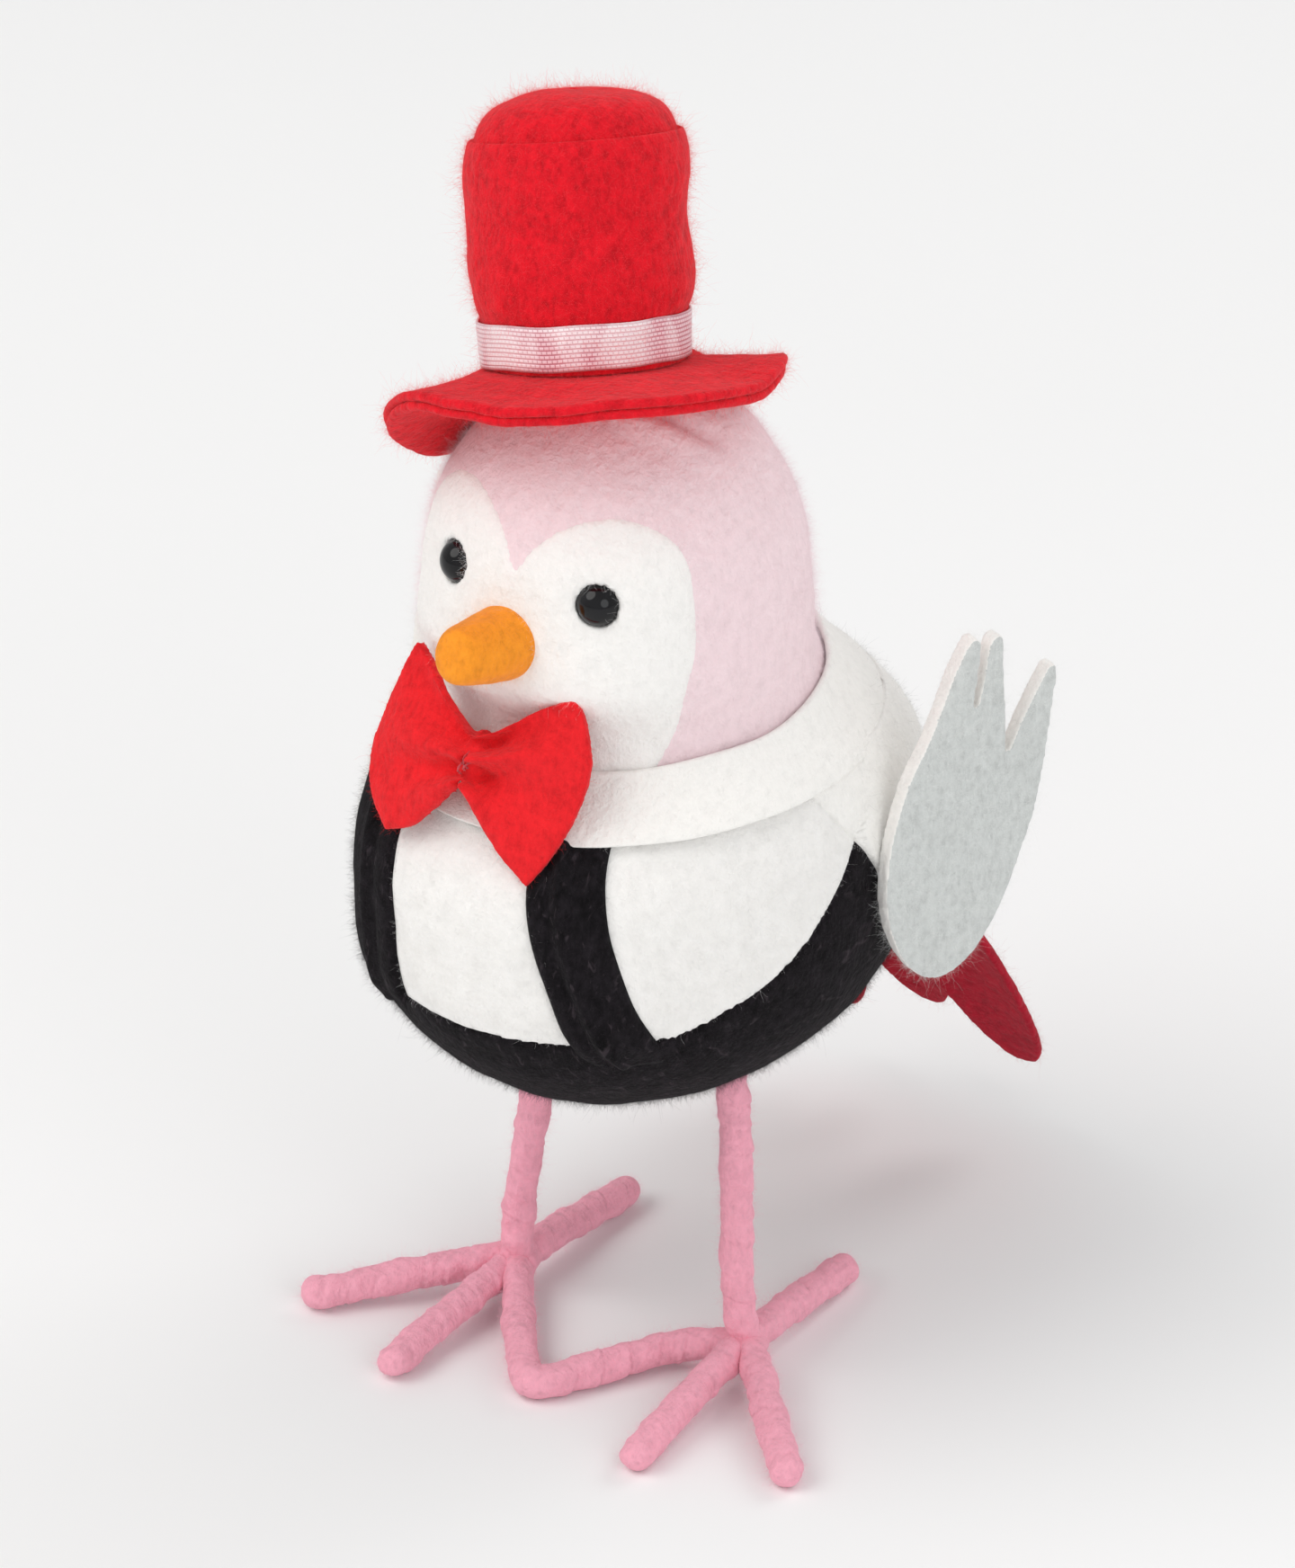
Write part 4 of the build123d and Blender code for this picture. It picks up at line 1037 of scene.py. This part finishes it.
TAIL_ROOT, TAIL_SPREAD = Vector((0, 48.6, 66.0)), 9.2
TAIL_DROP, SIDE_DIP = 56.0, 4.0
FAN = {1: 9.5, -1: 3.2, 0: 0.0}
FEATHER = [(-4.2, -1.8), (-5.9, 8.0), (-7.6, 18.0), (-8.3, 28.0), (-7.8, 40.0), (-6.4, 50.0),
           (-4.6, 57.0), (-2.4, 61.0), (0.0, 62.0)]
OTHER_HALF = [(-x, y) for x, y in reversed(FEATHER)]
FEATHER_THICK = 1.5
for name, sign in (("middle", 0), *SIDES):
    drop = math.radians(TAIL_DROP + SIDE_DIP * abs(sign))
    fan = math.radians(-sign * FAN[sign])
    normal = Vector((0, math.sin(drop), math.cos(drop)))
    across_run = LEFT * math.cos(fan) + normal.cross(LEFT) * math.sin(fan)
    start = TAIL_ROOT + LEFT * (sign * TAIL_SPREAD)

    def feather_bend(x, y, sign=sign):
        return 0.7 * math.sin(y / 62 * math.pi) - 0.02 * x * x + (0.25 if sign == 0 else -0.1)

    feather = plate(f"felt_{name}_tail_feather", [FEATHER, OTHER_HALF, [OTHER_HALF[-1], FEATHER[0]]],
                    start, across_run, normal.cross(across_run), FEATHER_THICK, feather_bend, 0.38,
                    2, tail_felt, (f"{name}_tail_feather",), "tail")
    # The fibres' darker red is painted shade as well.
    fuzz(feather, (190, 48, 64), 5.0, 0.45, 37, ((2.0, 1.5, 0.011, 0.2),), glow=1.0, thick=0.012)

# ---------------------------------------------------------------- wound legs
WRAP_RADIUS, WRAP_PITCH = 2.3, 4.6
WRAP_AROUND, WRAP_STEP = 36, 0.28
TIP_LONG = WRAP_RADIUS * 1.15


def wound_tube(name, path, replaces, seed, closed_tip=False, flatten=True):
    """Fleece strip wound in a spiral round a wire: a tube with lapped edges and lumps."""
    line = spline(path, 40)
    lengths = [0.0]
    for a, b in zip(line, line[1:]):
        lengths.append(lengths[-1] + (b - a).length)
    total = lengths[-1]
    count = int(total / WRAP_STEP) + 2
    points = []
    across = None
    for j in range(count):
        s = total * j / (count - 1)
        k = min(max(0, int(np.searchsorted(lengths, s)) - 1), len(line) - 2)
        t = (s - lengths[k]) / max(1e-9, lengths[k + 1] - lengths[k])
        spot = line[k].lerp(line[k + 1], t)
        ahead = (line[min(k + 2, len(line) - 1)] - line[max(k - 1, 0)]).normalized()
        if across is None:
            across = ahead.cross(Vector((0.31, 0.22, 0.92))).normalized()
        across = (across - ahead * across.dot(ahead)).normalized()
        other = ahead.cross(across)
        close = 1.0
        if closed_tip and total - s < TIP_LONG:
            close = math.sqrt(max(0.0, 1 - (1 - (total - s) / TIP_LONG) ** 2.4))
        for turn in ring(WRAP_AROUND):
            drift = 0.7 * wobble((s, 0, 0), 0.13, seed) + 0.12 * wobble((s, turn, 0), 0.5, seed)
            phase = (s / WRAP_PITCH + turn / (2 * math.pi) + drift) % 1.0
            strength = 0.7 + 0.6 * wobble((s, turn, 5), 0.3, seed + 6)
            groove = math.exp(-((min(phase, 1 - phase)) / 0.045) ** 2)
            lap = 0.26 * phase ** 1.5 - 0.10 - 0.2 * groove
            lumps = 0.42 * wobble(polar(turn, 1, s * 0.3), 0.8, seed)
            lumps += 0.22 * wobble(polar(turn, 2, s), 0.6, seed + 3)
            r = (WRAP_RADIUS + 0.05 + lap * strength + lumps) * close
            place = spot + (across * math.cos(turn) + other * math.sin(turn)) * r
            if flatten and place.z < 0.02:
                place.z = 0.02 + 0.02 * wobble(place, 1.0, seed)
            points.append(put(*place))
    piece = build(name, points, grid_faces(count, WRAP_AROUND, capped=True), leg_fleece,
                  replaces, "legs")
    fuzz(piece, LEG_FIBRE, 6.0, 0.55, seed + 1, ((1.5, 1.4, 0.011, 0.3),), thick=0.012)


HIP, ANKLE = (15.6, 5.0, 47.0), (19.4, 2.6, 4.6)
TOES = {"outer": (40.0, -17.4, 2.35), "middle": (20.6, -25.6, 2.35), "back": (18.8, 29.8, 2.35)}
for side, sign in SIDES:
    hip, ankle = [Vector((sign * p[0], *p[1:])) for p in (HIP, ANKLE)]
    leg = [hip + UP * 1.5, hip.lerp(ankle, 0.3) + Vector((0.3, 0.2, 0)),
           hip.lerp(ankle, 0.7) + Vector((-0.25, 0, 0)), ankle + Vector((0, 0.2, 1.2))]
    wound_tube(f"wound_{side}_leg", leg, (f"{side}_leg_wrap",), 110 + sign, flatten=False)
    for toe, tip in TOES.items():
        start = ankle + Vector((0, 1.2 if toe != "middle" else 0, 0))
        end = Vector((sign * tip[0], *tip[1:]))
        run = (end - start).normalized()
        path = [start, start.lerp(end, 0.4) + UP * 0.25, start.lerp(end, 0.75), end + run * 2.1]
        wound_tube(f"wound_{side}_{toe}_toe", path, (f"{side}_{toe}_toe_wrap",),
                   120 + 3 * sign + len(toe), closed_tip=True)
    # the strip crosses over itself round the ankle
    work = bmesh.new()
    bmesh.ops.create_uvsphere(work, u_segments=64, v_segments=44, radius=1.0)
    for vert in work.verts:
        d = vert.co.normalized()
        r = 3.05 + 0.12 * math.sin(7 * d.z + 3 * math.atan2(d.y, d.x) + sign)
        r += 0.1 * math.sin(6 * d.x - 5 * d.y + 1) + 0.3 * wobble(d * 2, 0.9, 140 + sign)
        place = ankle + Vector((d.x * r, 1.0 + d.y * r * 1.12, -0.2 + d.z * r * 1.05))
        place.z = max(place.z, 0.4)
        vert.co = put(*place)
    knot = finish_piece(f"wound_{side}_ankle", baked(work, "knot"), leg_fleece,
                        (f"{side}_ankle_wrap",), "legs")
    fuzz(knot, LEG_FIBRE, 6.0, 0.55, 45, thick=0.012)

BRIDGE = [(-18.6, 1.6, 4.6), (-12.5, -6.4, 3.4), (-6.2, -14.6, 2.6), (-2.9, -18.2, 2.4),
          (-0.6, -18.4, 2.35), (2.6, -13.6, 2.4), (6.2, -7.2, 2.5), (10.4, -1.4, 2.9),
          (14.4, 1.0, 3.6), (18.6, 2.6, 4.4)]
wound_tube("wound_bridge", BRIDGE, ("bridge_wrap",), 150)

# ---------------------------------------------------------------- nodes that keep their CAD shape
wire_look = Nodes("drawn_wire", Metallic=1.0, Roughness=0.35)
scratches = wire_look.noise(1.0, 3, 0.6, 0.1, wire_look.stretched((3000, 3000, 120)))
wire_look.paint(wire_look.ramp(scratches, [(0.3, (0.35, 0.35, 0.36)), (0.7, (0.6, 0.6, 0.61))]))
wire_look.bump(scratches, 0.15, 0.0001)
tail_thread_look = thread_material("tail_thread_look", (150, 20, 38))
for name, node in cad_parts.items():
    if name.endswith("_wire"):
        node.data.materials[0] = wire_look.material
    if name == "tail_thread":
        node.data.materials[0] = tail_thread_look
    if name.endswith(("_wire", "_thread")):
        node.data.polygons.foreach_set("use_smooth", [True] * len(node.data.polygons))

bpy.context.view_layer.update()
